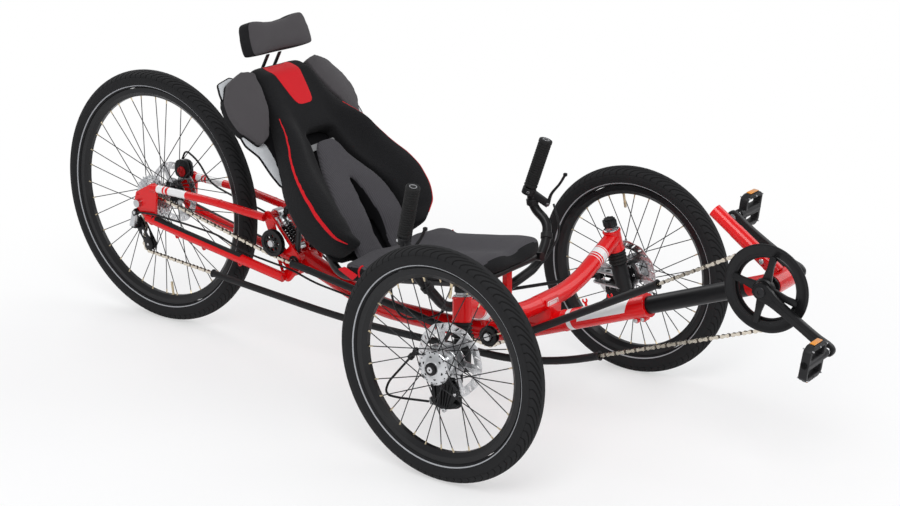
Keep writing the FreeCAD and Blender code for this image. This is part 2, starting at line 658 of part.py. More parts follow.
def makeRim(name, place, bead):
    body = newBody(name, place)
    revolved(body, name + "_ring", [
        ("-RimWidth / 2", bead + " + RimLip"), ("-RimWidth / 2 + 2", bead + " + RimLip"),
        ("-RimWidth / 2 + 2", bead + " - 2"), ("-RimWidth / 4", bead + " - 4"),
        ("RimWidth / 4", bead + " - 4"), ("RimWidth / 2 - 2", bead + " - 2"),
        ("RimWidth / 2 - 2", bead + " + RimLip"), ("RimWidth / 2", bead + " + RimLip"),
        ("RimWidth / 2", bead + " - RimDepth / 2"), ("RimWidth / 5", bead + " - RimDepth"),
        ("-RimWidth / 5", bead + " - RimDepth"), ("-RimWidth / 2", bead + " - RimDepth / 2")])
    keep(name, body)


def makeSpokes(name, place, bead, flanges, count):
    """Crossed spokes; flanges are (middle along the axle, radius)."""
    thick = number("SpokeThickness")
    aside = 1.5 + thick / 2 + 3 * number("FaceGap")
    rimReach = number(bead + " - RimDepth - FaceGap")
    spokes = []
    for index in range(count):
        flangeX, flangeRadius = flanges[index % 2]
        leading = 1 if (index // 2) % 2 else -1
        rimAngle = math.radians(360 / count * index)
        hubAngle = rimAngle + leading * math.radians(62)
        start = Vector(flangeX + leading * aside, (flangeRadius - 3.5) * math.cos(hubAngle),
                       (flangeRadius - 3.5) * math.sin(hubAngle))
        end = Vector(3 if flangeX > 0 else -3, rimReach * math.cos(rimAngle), rimReach * math.sin(rimAngle))
        run = end - start
        spokes.append(Part.makeCylinder(thick / 2, run.Length - 0.6, start, run))
    item = plain(name, Part.makeCompound(spokes))
    item.Placement = place
    keep(name, item)


def makeRotor(name, place, middle, bore):
    body = newBody(name, place)
    edge = "%s + RotorThickness / 2" % middle, "%s - RotorThickness / 2" % middle
    revolved(body, name + "_disc", [
        (edge[1], bore), (edge[0], bore), (edge[0], "RotorRadius"), (edge[1], "RotorRadius")])
    windowRow = [("0", "RotorRadius * 0.56", "RotorRadius * 0.17")]
    windows = raised(body, "Pocket", circles(body, name + "_window", "YZ_Plane", windowRow),
                     name + "_windows", "200")
    around(body, windows, name + "_window_ring", 6)
    holeRow = [("0", "RotorRadius - 8", "3")]
    holes = raised(body, "Pocket", circles(body, name + "_hole", "YZ_Plane", holeRow),
                   name + "_holes", "200")
    around(body, holes, name + "_hole_ring", 18)
    keep(name, body)


def makeFrontWheel(side, name):
    turn = Rotation(Vector(0, 0, 1), 0 if side > 0 else 180)
    place = Placement(spot(side * halfTrack, 0, frontAxleHeight), turn)
    makeTyre(name + "_tyre", place, "FrontBeadRadius")
    makeRim(name + "_rim", place, "FrontBeadRadius")
    makeSpokes(name + "_spokes", place, "FrontBeadRadius", ((-20, 30), (20, 37)), 32)
    hub = newBody(name + "_hub", place)
    bore = "AxleRadius + RunningFit"
    revolved(hub, name + "_hub_shell", [
        ("-34", bore), ("32", bore), ("32", "0"), ("35", "0"), ("35", "14"), ("30", "16"), ("21.5", "16"),
        ("21.5", "37"), ("18.5", "37"), ("18.5", "17"), ("-18.5", "17"), ("-18.5", "30"),
        ("-21.5", "30"), ("-21.5", "19"), ("-34", "19")])
    keep(name + "_hub", hub)
    makeRotor(name + "_rotor", place, -rotorFromTyre, "AxleRadius + 2")


def makeRearWheel():
    place = Placement(rearAxle, Rotation())
    makeTyre("rear_tyre", place, "RearBeadRadius")
    makeRim("rear_rim", place, "RearBeadRadius")
    makeSpokes("rear_spokes", place, "RearBeadRadius", ((-18.5, 30), (34.5, 30)), 36)
    hub = newBody("rear_hub", place)
    revolved(hub, "rear_hub_shell", [
        ("-RearHubWidth / 2 + 3.5", "6 + RunningFit"), ("RearHubWidth / 2 - 3.5", "6 + RunningFit"),
        ("RearHubWidth / 2 - 3.5", "11"),
        (rearRotorOffset + " - 1.2", "11"), (rearRotorOffset + " - 1.2", "20"), ("43", "20"), ("36", "18"),
        ("36", "30"), ("33", "30"), ("33", "17"), ("-17", "17"), ("-17", "30"), ("-20", "30"),
        ("-20", "17"), ("-RearHubWidth / 2 + 5.5", "17"), ("-RearHubWidth / 2 + 5.5", "9"),
        ("-RearHubWidth / 2 + 3.5", "9")])
    keep("rear_hub", hub)
    makeRotor("rear_rotor", place, rearRotorOffset, "12")
    cogs = newBody("cassette", place)
    revolved(cogs, "cassette_cogs", [
        ("-23", "17.3"), ("-23", "62"), ("-29", "62"), ("-29", "52"), ("-35", "52"), ("-35", "42"),
        ("-41", "42"), ("-41", "34"), ("-ChainLine + ChainThickness / 2 + 1", "34"),
        ("-ChainLine + ChainThickness / 2 + 1", "CogRadius - ChainHeight / 2 - FaceGap"),
        ("-62", "CogRadius - ChainHeight / 2 - FaceGap"), ("-62", "17.3")])
    keep("cassette", cogs)


# ---------------------------------------------------------------- steering
def makeKnuckle(side, name):
    """Kingpin with its stub axle, the twin plates of the steering arm, its covers and its brake."""
    half = number("HeadTubeLength / 2")
    rotorX = halfTrack - rotorFromTyre
    faceX = rotorX - 8.5                                # inner side of the caliper
    axleRise = -number("HeadTubeRise")
    bootTop, blockTop, blockEnd = -half - 0.3, -half - 34, axleRise - 34
    shaft = cylinder(name + "_pin", onKingpin(side, blockEnd), onKingpin(side, half + 16), "KingpinRadius")
    core = cylinder(name + "_core", onKingpin(side, blockEnd), onKingpin(side, blockTop), "19")
    axleRoot = onKingpin(side, axleRise)
    axleLine = Vector(axleRoot.x, spot(0, 0, 0).y, frontAxleHeight)
    boss = cylinder(name + "_boss", axleLine, spot(side * (halfTrack - 38), 0, frontAxleHeight), "18")
    stubEnd = spot(side * (halfTrack + 31.7), 0, frontAxleHeight)
    stub = cylinder(name + "_stub", axleLine, stubEnd, "AxleRadius")
    eye, up = eyeOf(side), kingpinUp(side)
    pieces = [shaft, core, boss, stub]
    for lift in (14, -14):
        middle = eye + Vector(0, 0, lift)
        arm = newBody(name + "_arm", Placement(middle, Rotation()))
        raised(arm, "Pad", strap(arm, name + "_arm_outline", "XY_Plane", [
            (0, 0, "12"), (0, "-SteeringArm", "16")]), name + "_arm_pad", "5")
        pieces.append(arm)
    pieces.append(cylinder(name + "_arm_pin", eye - up * 20, eye + up * 20, "4"))
    pieces.append(beside(name + "_brake_mount", side, (faceX - 6.3, -22, -52), (faceX - 0.3, 46, -10)))
    pieces.append(beside(name + "_stop_arm", side, (faceX - 5.3, -10, -16), (faceX - 0.3, 100, -4)))
    stopX = side * (faceX - 2.3)
    stopHead, stopFoot = spot(stopX, 92, 249), spot(stopX, 112, 226)
    pieces.append(cylinder(name + "_cable_stop", stopHead, stopFoot, "7"))
    keep(name, fused(name, pieces))

    ring = onKingpin(side, half + 0.3)
    nut = cylinder(name + "_nut", ring, onKingpin(side, half + 9), "15")
    knob = cylinder(name + "_knob", onKingpin(side, half + 9), onKingpin(side, half + 30), "17")
    bore = cylinder(name + "_cap_bore", onKingpin(side, half - 2), onKingpin(side, half + 16.3),
                    "KingpinRadius + 0.1")
    cap = cutAway(name + "_cap", fused(name + "_cap_whole", [nut, knob]), [bore])

    downward = turned(onKingpin(side, 0), onKingpin(side, -1))
    boot = newBody(name + "_boot", Placement(onKingpin(side, bootTop), downward))
    profile = [("KingpinRadius + 0.3", "0")]
    folds, pitch = 4, 8.2
    for fold in range(folds):
        low, high = (fold + 0.15) * pitch, (fold + 0.85) * pitch
        profile += [("18", low), ("22", (low + high) / 2), ("18", high)]
    profile += [("KingpinRadius + 0.3", folds * pitch)]
    sketch = outline(boot, name + "_boot_outline", "XZ_Plane", profile)
    turn = boot.newObject("PartDesign::Revolution", name + "_bellows")
    turn.Profile = sketch
    turn.ReferenceAxis = (sketch, ["V_Axis"])
    turn.Angle = 360
    keep(name + "_covers", fused(name + "_covers", [cap, boot]))

    body = beside(name + "_caliper_body", side, (faceX, -24, -110), (faceX + 17.7, 48, -38))
    piston = cylinder(name + "_caliper_piston", spot(side * (faceX - 14), 12, frontAxleHeight - 78),
                      spot(side * (faceX + 1), 12, frontAxleHeight - 78), "22")
    lever = beside(name + "_caliper_lever", side, (faceX - 10, 30, -118), (faceX + 4, 66, -102))
    slot = beside(name + "_caliper_slot", side, (rotorX - slotHalf, -30, -number("RotorRadius + 6")),
                  (rotorX + slotHalf, 54, -30))
    keep(name + "_caliper", cutAway(name + "_caliper",
                                    fused(name + "_caliper_whole", [body, piston, lever]), [slot]))

    away = (stopFoot - stopHead).normalize()
    leverFace = spot(side * (faceX - 5.3), 66.3, 139)
    keep(name + "_cable", tube(name + "_cable", [
        stopFoot + away * 0.3, spot(side * (faceX - 3.3), 172, 158), spot(side * (faceX - 4.3), 182, 128),
        spot(side * (faceX - 5.3), 148, 128), leverFace], "CableRadius", share=0.45))


def makeTieRod(side, name, level):
    """Rod from the eye behind a kingpin to the pin behind the handlebar's hub."""
    outer, up = eyeOf(side), kingpinUp(side)
    inner = spot(0, number("BarPivotSetback + SteeringArm"), level)
    along = (inner - outer).normalize()
    rod = cylinder(name + "_rod", outer + along * 8, inner - along * 12, "TieRodRadius")
    eyes = [cylinder(name + "_outer_eye", outer - up * 6, outer + up * 6, "10"),
            cylinder(name + "_inner_eye", inner - Vector(0, 0, 5), inner + Vector(0, 0, 5), "14")]
    bores = [cylinder(name + "_outer_bore", outer - up * 12, outer + up * 12, "4 + RunningFit"),
             cylinder(name + "_inner_bore", inner - Vector(0, 0, 9), inner + Vector(0, 0, 9), "4 + 4.5")]
    keep(name, cutAway(name, fused(name + "_whole", [rod, *eyes]), bores))


# handlebar's line from the pivot to the grip's end: from the middle, behind the front axle, height
barRoute = [(0, 150, 254), (90, 141, 269), (176, 138, 286), (222, 142, 336), (247, 156, 372),
            (243, 194, 404), (237, 197, 455), (249, 164, 565)]

# the same columns, from each brake lever down to the crossbar and along it to the hub
barCableRoutes = [
    [(260, 148, 414), (252, 128, 378), (250, 126, 342), (214, 123, 318), (172, 120, 296), (110, 123, 282),
     (50, 130, 276), (14, 146, 264)],
    [(-262, 152, 412), (-268, 210, 384), (-256, 222, 318), (-246, 204, 266), (-190, 152, 264),
     (-110, 166, 276), (-50, 166, 274), (-14, 154, 264)],
]


def barPoints(side):
    shiftY = number("BarPivotSetback") - barRoute[0][1]
    shiftZ = number("BarPivotHeight") - barRoute[0][2]
    return [spot(side * x, y + shiftY, z + shiftZ) for x, y, z in barRoute]


def makeHandlebar():
    pieces, grips, levers, barRooms = [], [], [], []
    pivot = spot(0, number("BarPivotSetback"), number("BarPivotHeight"))
    for side in (1, -1):
        points = barPoints(side)
        pieces.append(tube("bar", points, "BarRadius", share=0.4))
        barRooms.append(tube("bar_room", points, "BarRadius + FaceGap", share=0.4))
        top, foot = points[-1], points[-2]
        along = (top - foot).normalize()
        gripFoot = top - along * number("GripLength")
        grip = cylinder("grip_outside", gripFoot, top + along * 3, "GripRadius")
        grips.append(grip)
        clampAt = top - along * number("GripLength + 12")
        ring = cylinder("lever_ring", clampAt - along * 8, clampAt + along * 8, "BarRadius + 5")
        reach = Vector(side * 20, -40, -30)
        body = cylinder("lever_body", clampAt + reach * 0.25, clampAt + reach, "9")
        blade = tube("lever_blade", [clampAt + reach, clampAt + reach + Vector(side * 5, -6, 24),
                                     clampAt + reach + Vector(side * 8, -26, 50),
                                     clampAt + reach + Vector(side * 10, -40, 74)], "4.5", share=0.4)
        levers.append(fused("lever", [ring, body, blade]))
    hub = cylinder("bar_hub", pivot - Vector(0, 0, 31.7), pivot + Vector(0, 0, 15), "20")
    plateDrop = Vector(0, 0, -number("BarPlateDrop"))
    plate = newBody("bar_plate", Placement(pivot + plateDrop, Rotation()))
    raised(plate, "Pad", strap(plate, "bar_plate_outline", "XY_Plane", [
        (0, 0, "18"), (0, "SteeringArm", "11")]), "bar_plate_pad", "6")
    pinMiddle = pivot + Vector(0, number("SteeringArm"), 0) + plateDrop
    pin = cylinder("bar_pin", pinMiddle - Vector(0, 0, 27), pinMiddle + Vector(0, 0, 27), "4")
    bore = cylinder("bar_hub_bore", pivot - Vector(0, 0, 40), pivot + Vector(0, 0, 40), "8 + RunningFit")
    bar = cutAway("handlebar", fused("handlebar_whole", [*pieces, hub, plate, pin]), [bore])
    keep("handlebar", bar)
    keep("grips", cutAway("grips", fused("grips_whole", grips), barRooms))
    keep("brake_levers", cutAway("brake_levers", fused("brake_levers_whole", levers), barRooms))
    keep("bar_cables", cutAway("bar_cables", fused("bar_cables_whole", [
        tube("bar_cable", [spot(*point) for point in points], "CableRadius") for points in barCableRoutes]),
        [subParts["handlebar"], subParts["brake_levers"]]))


# ---------------------------------------------------------------- drive
cogY, cogZ = number("Wheelbase"), rearAxleHeight
# behind the front axle, height, pitch radius, turn (+1 anticlockwise with Y to the right)
chainRoute = [
    (-number("BoomReach"), crankAxleHeight, number("RingRadius"), -1),
    (number("FrontIdlerSetback"), number("FrontIdlerHeight"), number("FrontIdlerRadius"), 1),
    (rearIdlerSetback, number("RearIdlerHeight"), number("RearIdlerRadius"), 1),
    (cogY, cogZ, number("CogRadius"), -1),
    (cogY + 24, cogZ - 62, number("JockeyRadius"), 1),
    (cogY - 8, cogZ - 112, number("JockeyRadius"), -1),
    (420, 144 + 3000, 3000, -1),
    (130, 147 + 800, 800, -1),
]


def makeChain():
    half = number("ChainHeight / 2")
    face = Part.Face(beltWire(chainX, chainRoute, half)).cut(Part.Face(beltWire(chainX, chainRoute, -half)))
    thick = number("ChainThickness")
    loop = face.extrude(Vector(thick, 0, 0))
    loop.translate(Vector(-thick / 2, 0, 0))
    keep("chain", plain("chain", loop))


def makeChainTubes():
    """Two tubes over the driving run and one bent tube over the return run."""
    runs, arcs = belt(chainRoute)

    def along(run, setback):
        share = (setback - run[0][0]) / (run[1][0] - run[0][0])
        return inPlane(chainX, (setback, run[0][1] + share * (run[1][1] - run[0][1])))

    tubes = []
    toIdler, toRearIdler, toBend, level, toRing = runs[0], runs[1], runs[5], runs[6], runs[7]
    ends = [(along(toIdler, -310), along(toIdler, number("FrontIdlerSetback") - 50)),
            (along(toRearIdler, number("FrontIdlerSetback") + 50),
             along(toRearIdler, rearIdlerSetback - 60))]
    for start, end in ends:
        outside = cylinder("chain_tube_outside", start, end, "ChainTubeRadius")
        inside = cylinder("chain_tube_inside", start, end, "ChainTubeBore")
        tubes.append(cutAway("chain_tube", outside, [inside]))
    start, end = along(toBend, 948), along(toRing, -175)
    bend = [inPlane(chainX, point) for point in arcs[6]]
    rise = [inPlane(chainX, point) for point in arcs[7]]
    path = Part.Wire([Part.LineSegment(start, bend[0]).toShape(), Part.Arc(*bend).toShape(),
                      Part.LineSegment(bend[2], rise[0]).toShape(), Part.Arc(*rise).toShape(),
                      Part.LineSegment(rise[2], end).toShape()])
    spine = plain("return_tube_line", path)
    sweeps = []
    for label, radius in (("return_tube_outside", "ChainTubeRadius"),
                          ("return_tube_inside", "ChainTubeBore")):
        ring = doc.addObject("Part::Circle", label + "_section")
        ring.Placement = Placement(start, turned(start, bend[0]))
        bind(ring, Radius=radius)
        sweep = doc.addObject("Part::Sweep", label)
        sweep.Sections = [ring]
        sweep.Spine = (spine, ["Edge%d" % (i + 1) for i in range(5)])
        sweep.Solid = True
        sweeps.append(sweep)
    tubes.append(cutAway("return_tube", sweeps[0], [sweeps[1]]))
    keep("chain_tubes", fused("chain_tubes", tubes))


def makeCranks():
    drop = math.radians(number("CrankDrop"))
    forward = Vector(0, -math.cos(drop), -math.sin(drop))
    inset, thick = number("CrankInset"), number("CrankThickness")
    length = number("CrankLength")
    ring = newBody("chainring", Placement(crankAxle, Rotation()))
    inner = "-ChainLine - ChainThickness / 2 - FaceGap"
    outer = inner + " - 4"
    revolved(ring, "chainring_disc", [
        ("-ChainLine + 2", "RingRadius - 19"), ("-ChainLine + 2", "RingRadius - ChainHeight / 2 - FaceGap"),
        ("-ChainLine - 2", "RingRadius - ChainHeight / 2 - FaceGap"), ("-ChainLine - 2", "RingRadius - 9"),
        (inner, "RingRadius - 9"), (inner, "GuardRadius"), (outer, "GuardRadius"),
        (outer, "RingRadius - 16"), ("-ChainLine - 2", "RingRadius - 19")])
    keep("chainring", ring)

    for side, name in ((-1, "crank_right"), (1, "crank_left")):
        reach = forward if side < 0 else -forward
        tip = reach * length
        armMiddle = crankAxle + Vector(side * (inset + thick / 2), 0, 0)
        arm = newBody(name + "_arm", Placement(armMiddle, Rotation()))
        rows = [("0", "0", "17"), (tip.y, tip.z, "13")]
        raised(arm, "Pad", strap(arm, name + "_outline", "YZ_Plane", rows), name + "_pad", "CrankThickness")
        pieces = [arm]
        if side < 0:
            pieces.append(cylinder("crank_axle", crankAxle - Vector(inset + 6, 0, 0),
                                   crankAxle + Vector(inset - 0.2, 0, 0), "12"))
            spider = [cylinder("spider_hub", crankAxle - Vector(inset + 2, 0, 0),
                               crankAxle - Vector(inset - 12, 0, 0), "22")]
            for quarter in range(4):
                turn = Rotation(Vector(1, 0, 0), 90 * quarter + 45 - number("CrankDrop"))
                spider.append(block("spider_arm", Vector(-inset - 0.5, -9, 15),
                                    Vector(-number("ChainLine") - 8.2, 9, number("RingRadius") - 12),
                                    Placement(crankAxle, turn)))
            pieces.append(fused("spider", spider))
        eye = crankAxle + tip
        bore = cylinder(name + "_eye", eye + Vector(side * (inset - 9), 0, 0),
                        eye + Vector(side * (inset + thick + 9), 0, 0), "7 + RunningFit")
        keep(name, cutAway(name, fused(name + "_whole", pieces), [bore]))

    pedals = [(-1, "pedal_right", 98), (1, "pedal_left", 97)]       # side, name, degrees of tilt
    for side, name, tilt in pedals:
        eye = crankAxle + (forward if side < 0 else -forward) * length
        start = inset + 1
        spindle = cylinder(name + "_spindle", eye + Vector(side * start, 0, 0),
                           eye + Vector(side * 176, 0, 0), "7")
        collar = cylinder(name + "_collar", eye + Vector(side * (inset + thick + 1), 0, 0),
                          eye + Vector(side * (inset + thick + 8), 0, 0), "9")
        near, far, shoulder = inset + thick + 28, 182, 12
        place = Placement(eye, Rotation(Vector(1, 0, 0), tilt))
        cage = newBody(name + "_cage", place)
        corners = [(near, -30), (near + shoulder, -37), (far - shoulder, -37), (far, -28),
                   (far, 28), (far - shoulder, 37), (near + shoulder, 37), (near, 30)]
        raised(cage, "Pad", outline(cage, name + "_cage_outline", "XY_Plane",
                                    [(side * x, y) for x, y in corners]), name + "_cage_pad", "20")
        gaps = [block(name + "_gap", Vector(min(side * (near + 8), side * (far - 8)), low, -20),
                      Vector(max(side * (near + 8), side * (far - 8)), high, 20), place)
                for low, high in ((-27, -10), (10, 27))]
        keep(name, fused(name, [cutAway(name + "_frame", cage, gaps), spindle, collar]))


def makeIdler(name, axle, pitch):
    body = newBody(name, Placement(axle, Rotation()))
    core, edge = pitch + " - ChainHeight / 2 - FaceGap", pitch + " + 1"
    inner = "-ChainLine + ChainThickness / 2 + 2 * FaceGap"
    outer = "-ChainLine - ChainThickness / 2 - 2 * FaceGap"
    revolved(body, name + "_wheel", [
        (inner + " + 2", "5 + RunningFit"), (inner + " + 2", edge), (inner, edge), (inner, core),
        (outer, core), (outer, edge), (outer + " - 2", edge), (outer + " - 2", "5 + RunningFit")])
    holeRow = [("0", "(%s) * 0.55" % pitch, "(%s) * 0.13" % pitch)]
    hole = raised(body, "Pocket", circles(body, name + "_hole", "YZ_Plane", holeRow),
                  name + "_holes", "200")
    around(body, hole, name + "_hole_ring", 8)
    keep(name, body)


def makeIdlers():
    rear = spot(0, rearIdlerSetback, number("RearIdlerHeight"))
    front = spot(0, number("FrontIdlerSetback"), number("FrontIdlerHeight"))
    makeIdler("rear_idler", rear, "RearIdlerRadius")
    makeIdler("front_idler", front, "FrontIdlerRadius")
    plateFace = -number("PivotHalfWidth + FaceGap + 6")
    outerFace = chainX - number("ChainThickness / 2 + 2 * FaceGap") - 2
    innerFace = chainX + number("ChainThickness / 2 + 2 * FaceGap") + 2
    bolts = []
    for axle, seatX in ((rear, plateFace), (front, -number("FrameRadius") + 4)):
        rows = [("idler_bolt", seatX, outerFace - 4, "5"),
                ("idler_head", outerFace - 0.3, outerFace - 4, "8"),
                ("idler_spacer", seatX, innerFace + 0.3, "8")]
        for label, startX, endX, radius in rows:
            bolts.append(cylinder(label, axle + Vector(startX, 0, 0), axle + Vector(endX, 0, 0), radius))
    tubeRoom = tube("tube_room", backbonePoints(), "FrameRadius + FaceGap", share=0.3)
    keep("idler_bolts", cutAway("idler_bolts", fused("idler_bolts_whole", bolts), [tubeRoom]))


def makeDerailleur():
    upper, lower = chainRoute[4], chainRoute[5]
    cage = []
    for shift in (7, -7):
        plate = newBody("cage_plate", Placement(spot(chainX + shift, 0, 0), Rotation()))
        raised(plate, "Pad", strap(plate, "cage_outline", "YZ_Plane", [
            (upper[0], upper[1], "14"), (lower[0], lower[1], "14")]), "cage_pad", "2")
        cage.append(plate)
    for y, z, pitch, turn in (upper, lower):
        cage.append(cylinder("jockey_bolt", spot(chainX - 9, y, z), spot(chainX + 9, y, z), "3"))
        cage.append(cylinder("jockey_wheel", spot(chainX - 3, y, z), spot(chainX + 3, y, z),
                             "JockeyRadius - ChainHeight / 2 - FaceGap"))
    hanger = (cogY + 12, cogZ - 26)
    knuckle = cylinder("derailleur_knuckle", spot(chainX - 15.5, *hanger),
                       spot(chainX - 30, *hanger), "11")
    arm = cylinder("derailleur_arm", spot(chainX - 20, *hanger), spot(chainX - 20, upper[0], upper[1]), "9")
    joint = cylinder("derailleur_joint", spot(chainX - 24, upper[0], upper[1]),
                     spot(chainX - 8, upper[0], upper[1]), "9")
    whole = fused("derailleur_whole", [*cage, knuckle, arm, joint])
    keep("derailleur", cutAway("derailleur", whole, [subParts["dropouts"]]))


def makeRearCaliper():
    """Block round the rear rotor on the left, above the upper stay."""
    rotorX = number(rearRotorOffset)
    low = rearAxle + Vector(rotorX - 10, -62, 44)
    high = rearAxle + Vector(rotorX + 16, -12, 92)
    body = block("rear_caliper_body", low, high)
    slot = block("rear_caliper_slot", Vector(rotorX - slotHalf, low.y - 5, low.z - 5),
                 Vector(rotorX + slotHalf, high.y + 5, rearAxle.z + number("RotorRadius") + 4))
    stayRoom = tube("stay_room", upperStayPoints(1), "UpperStayRadius + FaceGap", share=0.4)
    keep("rear_caliper", cutAway("rear_caliper", body, [slot, stayRoom, subParts["dropouts"]]))


# from the middle, behind the front axle, height: rear brake and derailleur, along the stays
# into the main tube
frameCableRoutes = [
    [(50, 1140, 418.8), (48, 1124, 446), (45, 1078, 424), (44, 1038, 372), (44, 950, 348), (46, 872, 332),
     (47, 790, 308), (47, 735, 281), (46, 668, 248), (30, 610, 214), (14, 560, 204)],
    [(-79, 1175.5, 302), (-80, 1130, 307), (-71, 1020, 297), (-64, 975, 290), (-61, 920, 284),
     (-56, 830, 252), (-49, 744, 239), (-45, 690, 231), (-40, 624, 210), (-34, 560, 200), (-14, 480, 178)],
]


def makeFrameCables():
    cables = [tube("frame_cable", [spot(*point) for point in points], "CableRadius")
              for points in frameCableRoutes]
    keep("frame_cables", cutAway("frame_cables", fused("frame_cables_whole", cables),
                                 [subParts["main_frame"], subParts["rear_caliper"]]))


# ---------------------------------------------------------------- seat
# behind the front axle, height
backLine = [(440, 345), (605, 552), (752, 733)]        # front of the back pad, at its middle
baseLine = [(66, 385), (190, 364), (440, 330)]         # top of the base pad, at its middle


backAlong = Vector(0, backLine[2][0] - backLine[0][0], backLine[2][1] - backLine[0][1]).normalize()
backOut = Vector(0, backAlong.z, -backAlong.y)          # rearward, square to the back pad
backFoot = spot(0, *backLine[0])
backLength = math.dist(backLine[0], backLine[2])


def onBack(share, depth, x):
    """Point at that share of the back pad's length, depth behind its front, x to the left."""
    return backFoot + backAlong * (share * backLength) + backOut * depth + Vector(x, 0, 0)


def makeSeatBase():
    half, thick = number("SeatWidth / 2"), number("SeatThickness")
    hip = half + 28                                     # widest, under the back pad
    outlineXY = [(-64, 62), (64, 62), (half - 35, 110), (half, 160), (half, 300), (hip, 370), (hip, 425),
                 (-hip, 425), (-hip, 370), (-half, 300), (-half, 160), (-half + 35, 110)]
    top = [spot(0, y, z) for y, z in baseLine]
    bottom = [point - Vector(0, 0, thick) for point in reversed(top)]
    side = Part.Face(Part.makePolygon([*top, *bottom, top[0]]))
    slab = side.extrude(Vector(2 * hip, 0, 0))
    slab.translate(Vector(-hip, 0, 0))
    plan = Part.Face(Part.makePolygon([spot(x, y, 200) for x, y in outlineXY + outlineXY[:1]]))
    keep("seat_base_pad", plain("seat_base_pad", slab.common(plan.extrude(Vector(0, 0, 300)))))


def makeSeatBack():
    """Back pad with its standing sides, and the two shoulder wings."""
    # share of the length, half the width there
    widths = [(0.0, 150), (0.10, 200), (0.22, 214), (0.34, 206), (0.55, 165), (0.80, 118), (1.0, 88)]
    front, back = -number("BolsterDepth"), number("BackThickness")
    corners = [onBack(share, front, width) for share, width in widths]
    corners += [onBack(share, front, -width) for share, width in reversed(widths)]
    plan = Part.Face(Part.makePolygon(corners + corners[:1])).extrude(backOut * (back - front))
    wide, level = 214, 118                              # half the whole and the flat middle width
    section = [(wide, front), (wide, 8), (150, back), (-150, back), (-wide, 8), (-wide, front),
               (-level, 0), (level, 0)]
    ring = [onBack(0, depth, width) for width, depth in section]
    bolstered = Part.Face(Part.makePolygon(ring + ring[:1])).extrude(backAlong * backLength)
    keep("seat_back_pad", plain("seat_back_pad", bolstered.common(plan)))

    pads = []
    for sign in (1, -1):
        shape = [(0.64, 152), (0.71, 184), (0.81, 203), (0.89, 196), (0.955, 162), (0.975, 100),
                 (0.80, 118.3)]
        points = [onBack(share, 6, sign * width) for share, width in shape]
        wing = Part.Face(Part.makePolygon(points + points[:1]))
        pads.append(wing.extrude(backOut * (back - 20)))
    keep("shoulder_pads", plain("shoulder_pads", Part.makeCompound(pads)))


def makeSeatFrame():
    """Headrest on its rods, and the tubes that carry the seat."""
    rails, x, topX = [], 118, 70                        # rails from the middle, below and at the top
    railRadius, clear = 10, 10.5
    behind = number("BackThickness") + clear
    under = number("SeatThickness") + clear
    railLow = spot(x, 84, baseLine[0][1] - under - 4)
    railTurn = spot(x, 486, baseLine[2][1] - under - 6)
    railTop = onBack(1, behind, x)
    railStart = onBack(0.1, behind, x)
    for sign in (1, -1):
        mirror = [Vector(sign * point.x, point.y, point.z)
                  for point in (railLow, railTurn, railStart, railTop)]
        mirror[3].x = sign * topX
        rails.append(tube("seat_rail", mirror, railRadius, share=0.45))
    crossAt = [railLow + Vector(0, 14, -2), railStart + (railTop - railStart) * 0.5,
               railTop - backAlong * 8]
    for point, reachX in zip(crossAt, (x, x - 20, topX)):
        rails.append(cylinder("seat_cross", Vector(-reachX, point.y, point.z),
                              Vector(reachX, point.y, point.z), "8"))
    for sign in (1, -1):
        rails.append(cylinder("seat_stay", rearPivot + Vector(sign * 26, 0, number("PivotRadius") + 4),
                              Vector(sign * 26, crossAt[1].y, crossAt[1].z), "7"))
    depth, rodX = number("HeadrestDepth"), 20.5
    place = Placement(spot(0, 733, 753), Rotation(Vector(1, 0, 0), -18))
    pad = newBody("headrest", place.multiply(Placement(Vector(0, depth / 2, 0), Rotation())))
    raised(pad, "Pad", outline(pad, "headrest_outline", "XZ_Plane", [
        ("-HeadrestWidth / 2", "0"), ("HeadrestWidth / 2", "0"),
        ("HeadrestWidth / 2 - 16", "HeadrestHeight"), ("-HeadrestWidth / 2 + 16", "HeadrestHeight")]),
        "headrest_block", "HeadrestDepth")
    keep("headrest_pad", pad)
    topCross = crossAt[2]
    for sign in (1, -1):
        start = Vector(sign * rodX, topCross.y, topCross.z)
        end = place.multVec(Vector(sign * rodX, depth - 16, -0.3))
        rails.append(cylinder("headrest_rod", start, end, "4"))
    keep("seat_frame", cutAway("seat_frame", fused("seat_frame_whole", rails), [
        subParts[node] for node in ("main_frame", "seat_base_pad", "seat_back_pad", "headrest_pad")]))


# ---------------------------------------------------------------- build
makeMainFrame()
for side, word in ((1, "left"), (-1, "right")):
    makeCrossArm(side, "cross_arm_" + word)
    makeFrontWheel(side, "front_" + word)
    makeKnuckle(side, "knuckle_" + word)
makeBoom()
makeSwingarm()
makeShock()
makeRearWheel()
plateHeight = number("BarPivotHeight - BarPlateDrop")
makeTieRod(1, "tie_rod_left", plateHeight + 16)
makeTieRod(-1, "tie_rod_right", plateHeight - 16)
makeHandlebar()
makeChain()
makeChainTubes()
makeCranks()
makeIdlers()
makeDerailleur()
makeRearCaliper()
makeFrameCables()
makeSeatBase()
makeSeatBack()
makeSeatFrame()

doc.recompute()
failed = [item.Name for item in doc.Objects if "Invalid" in item.State or "Error" in item.State]
if failed:
    raise RuntimeError("objects that failed: " + ", ".join(failed))
os.makedirs("parts", exist_ok=True)
for node, item in subParts.items():
    shape = item.Shape
    if shape.isNull() or not shape.isValid() or not shape.Solids:
        raise RuntimeError("bad shape: " + node)
    shape.exportStep("parts/%s.step" % node)
    print("%-24s %2d solids %10.1f cm3" % (node, len(shape.Solids), shape.Volume / 1000))
print("sub-parts:", len(subParts))
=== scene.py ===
import json
import math

import bmesh
import bpy
import numpy as np
from mathutils import Matrix, Vector
from mathutils.bvhtree import BVHTree


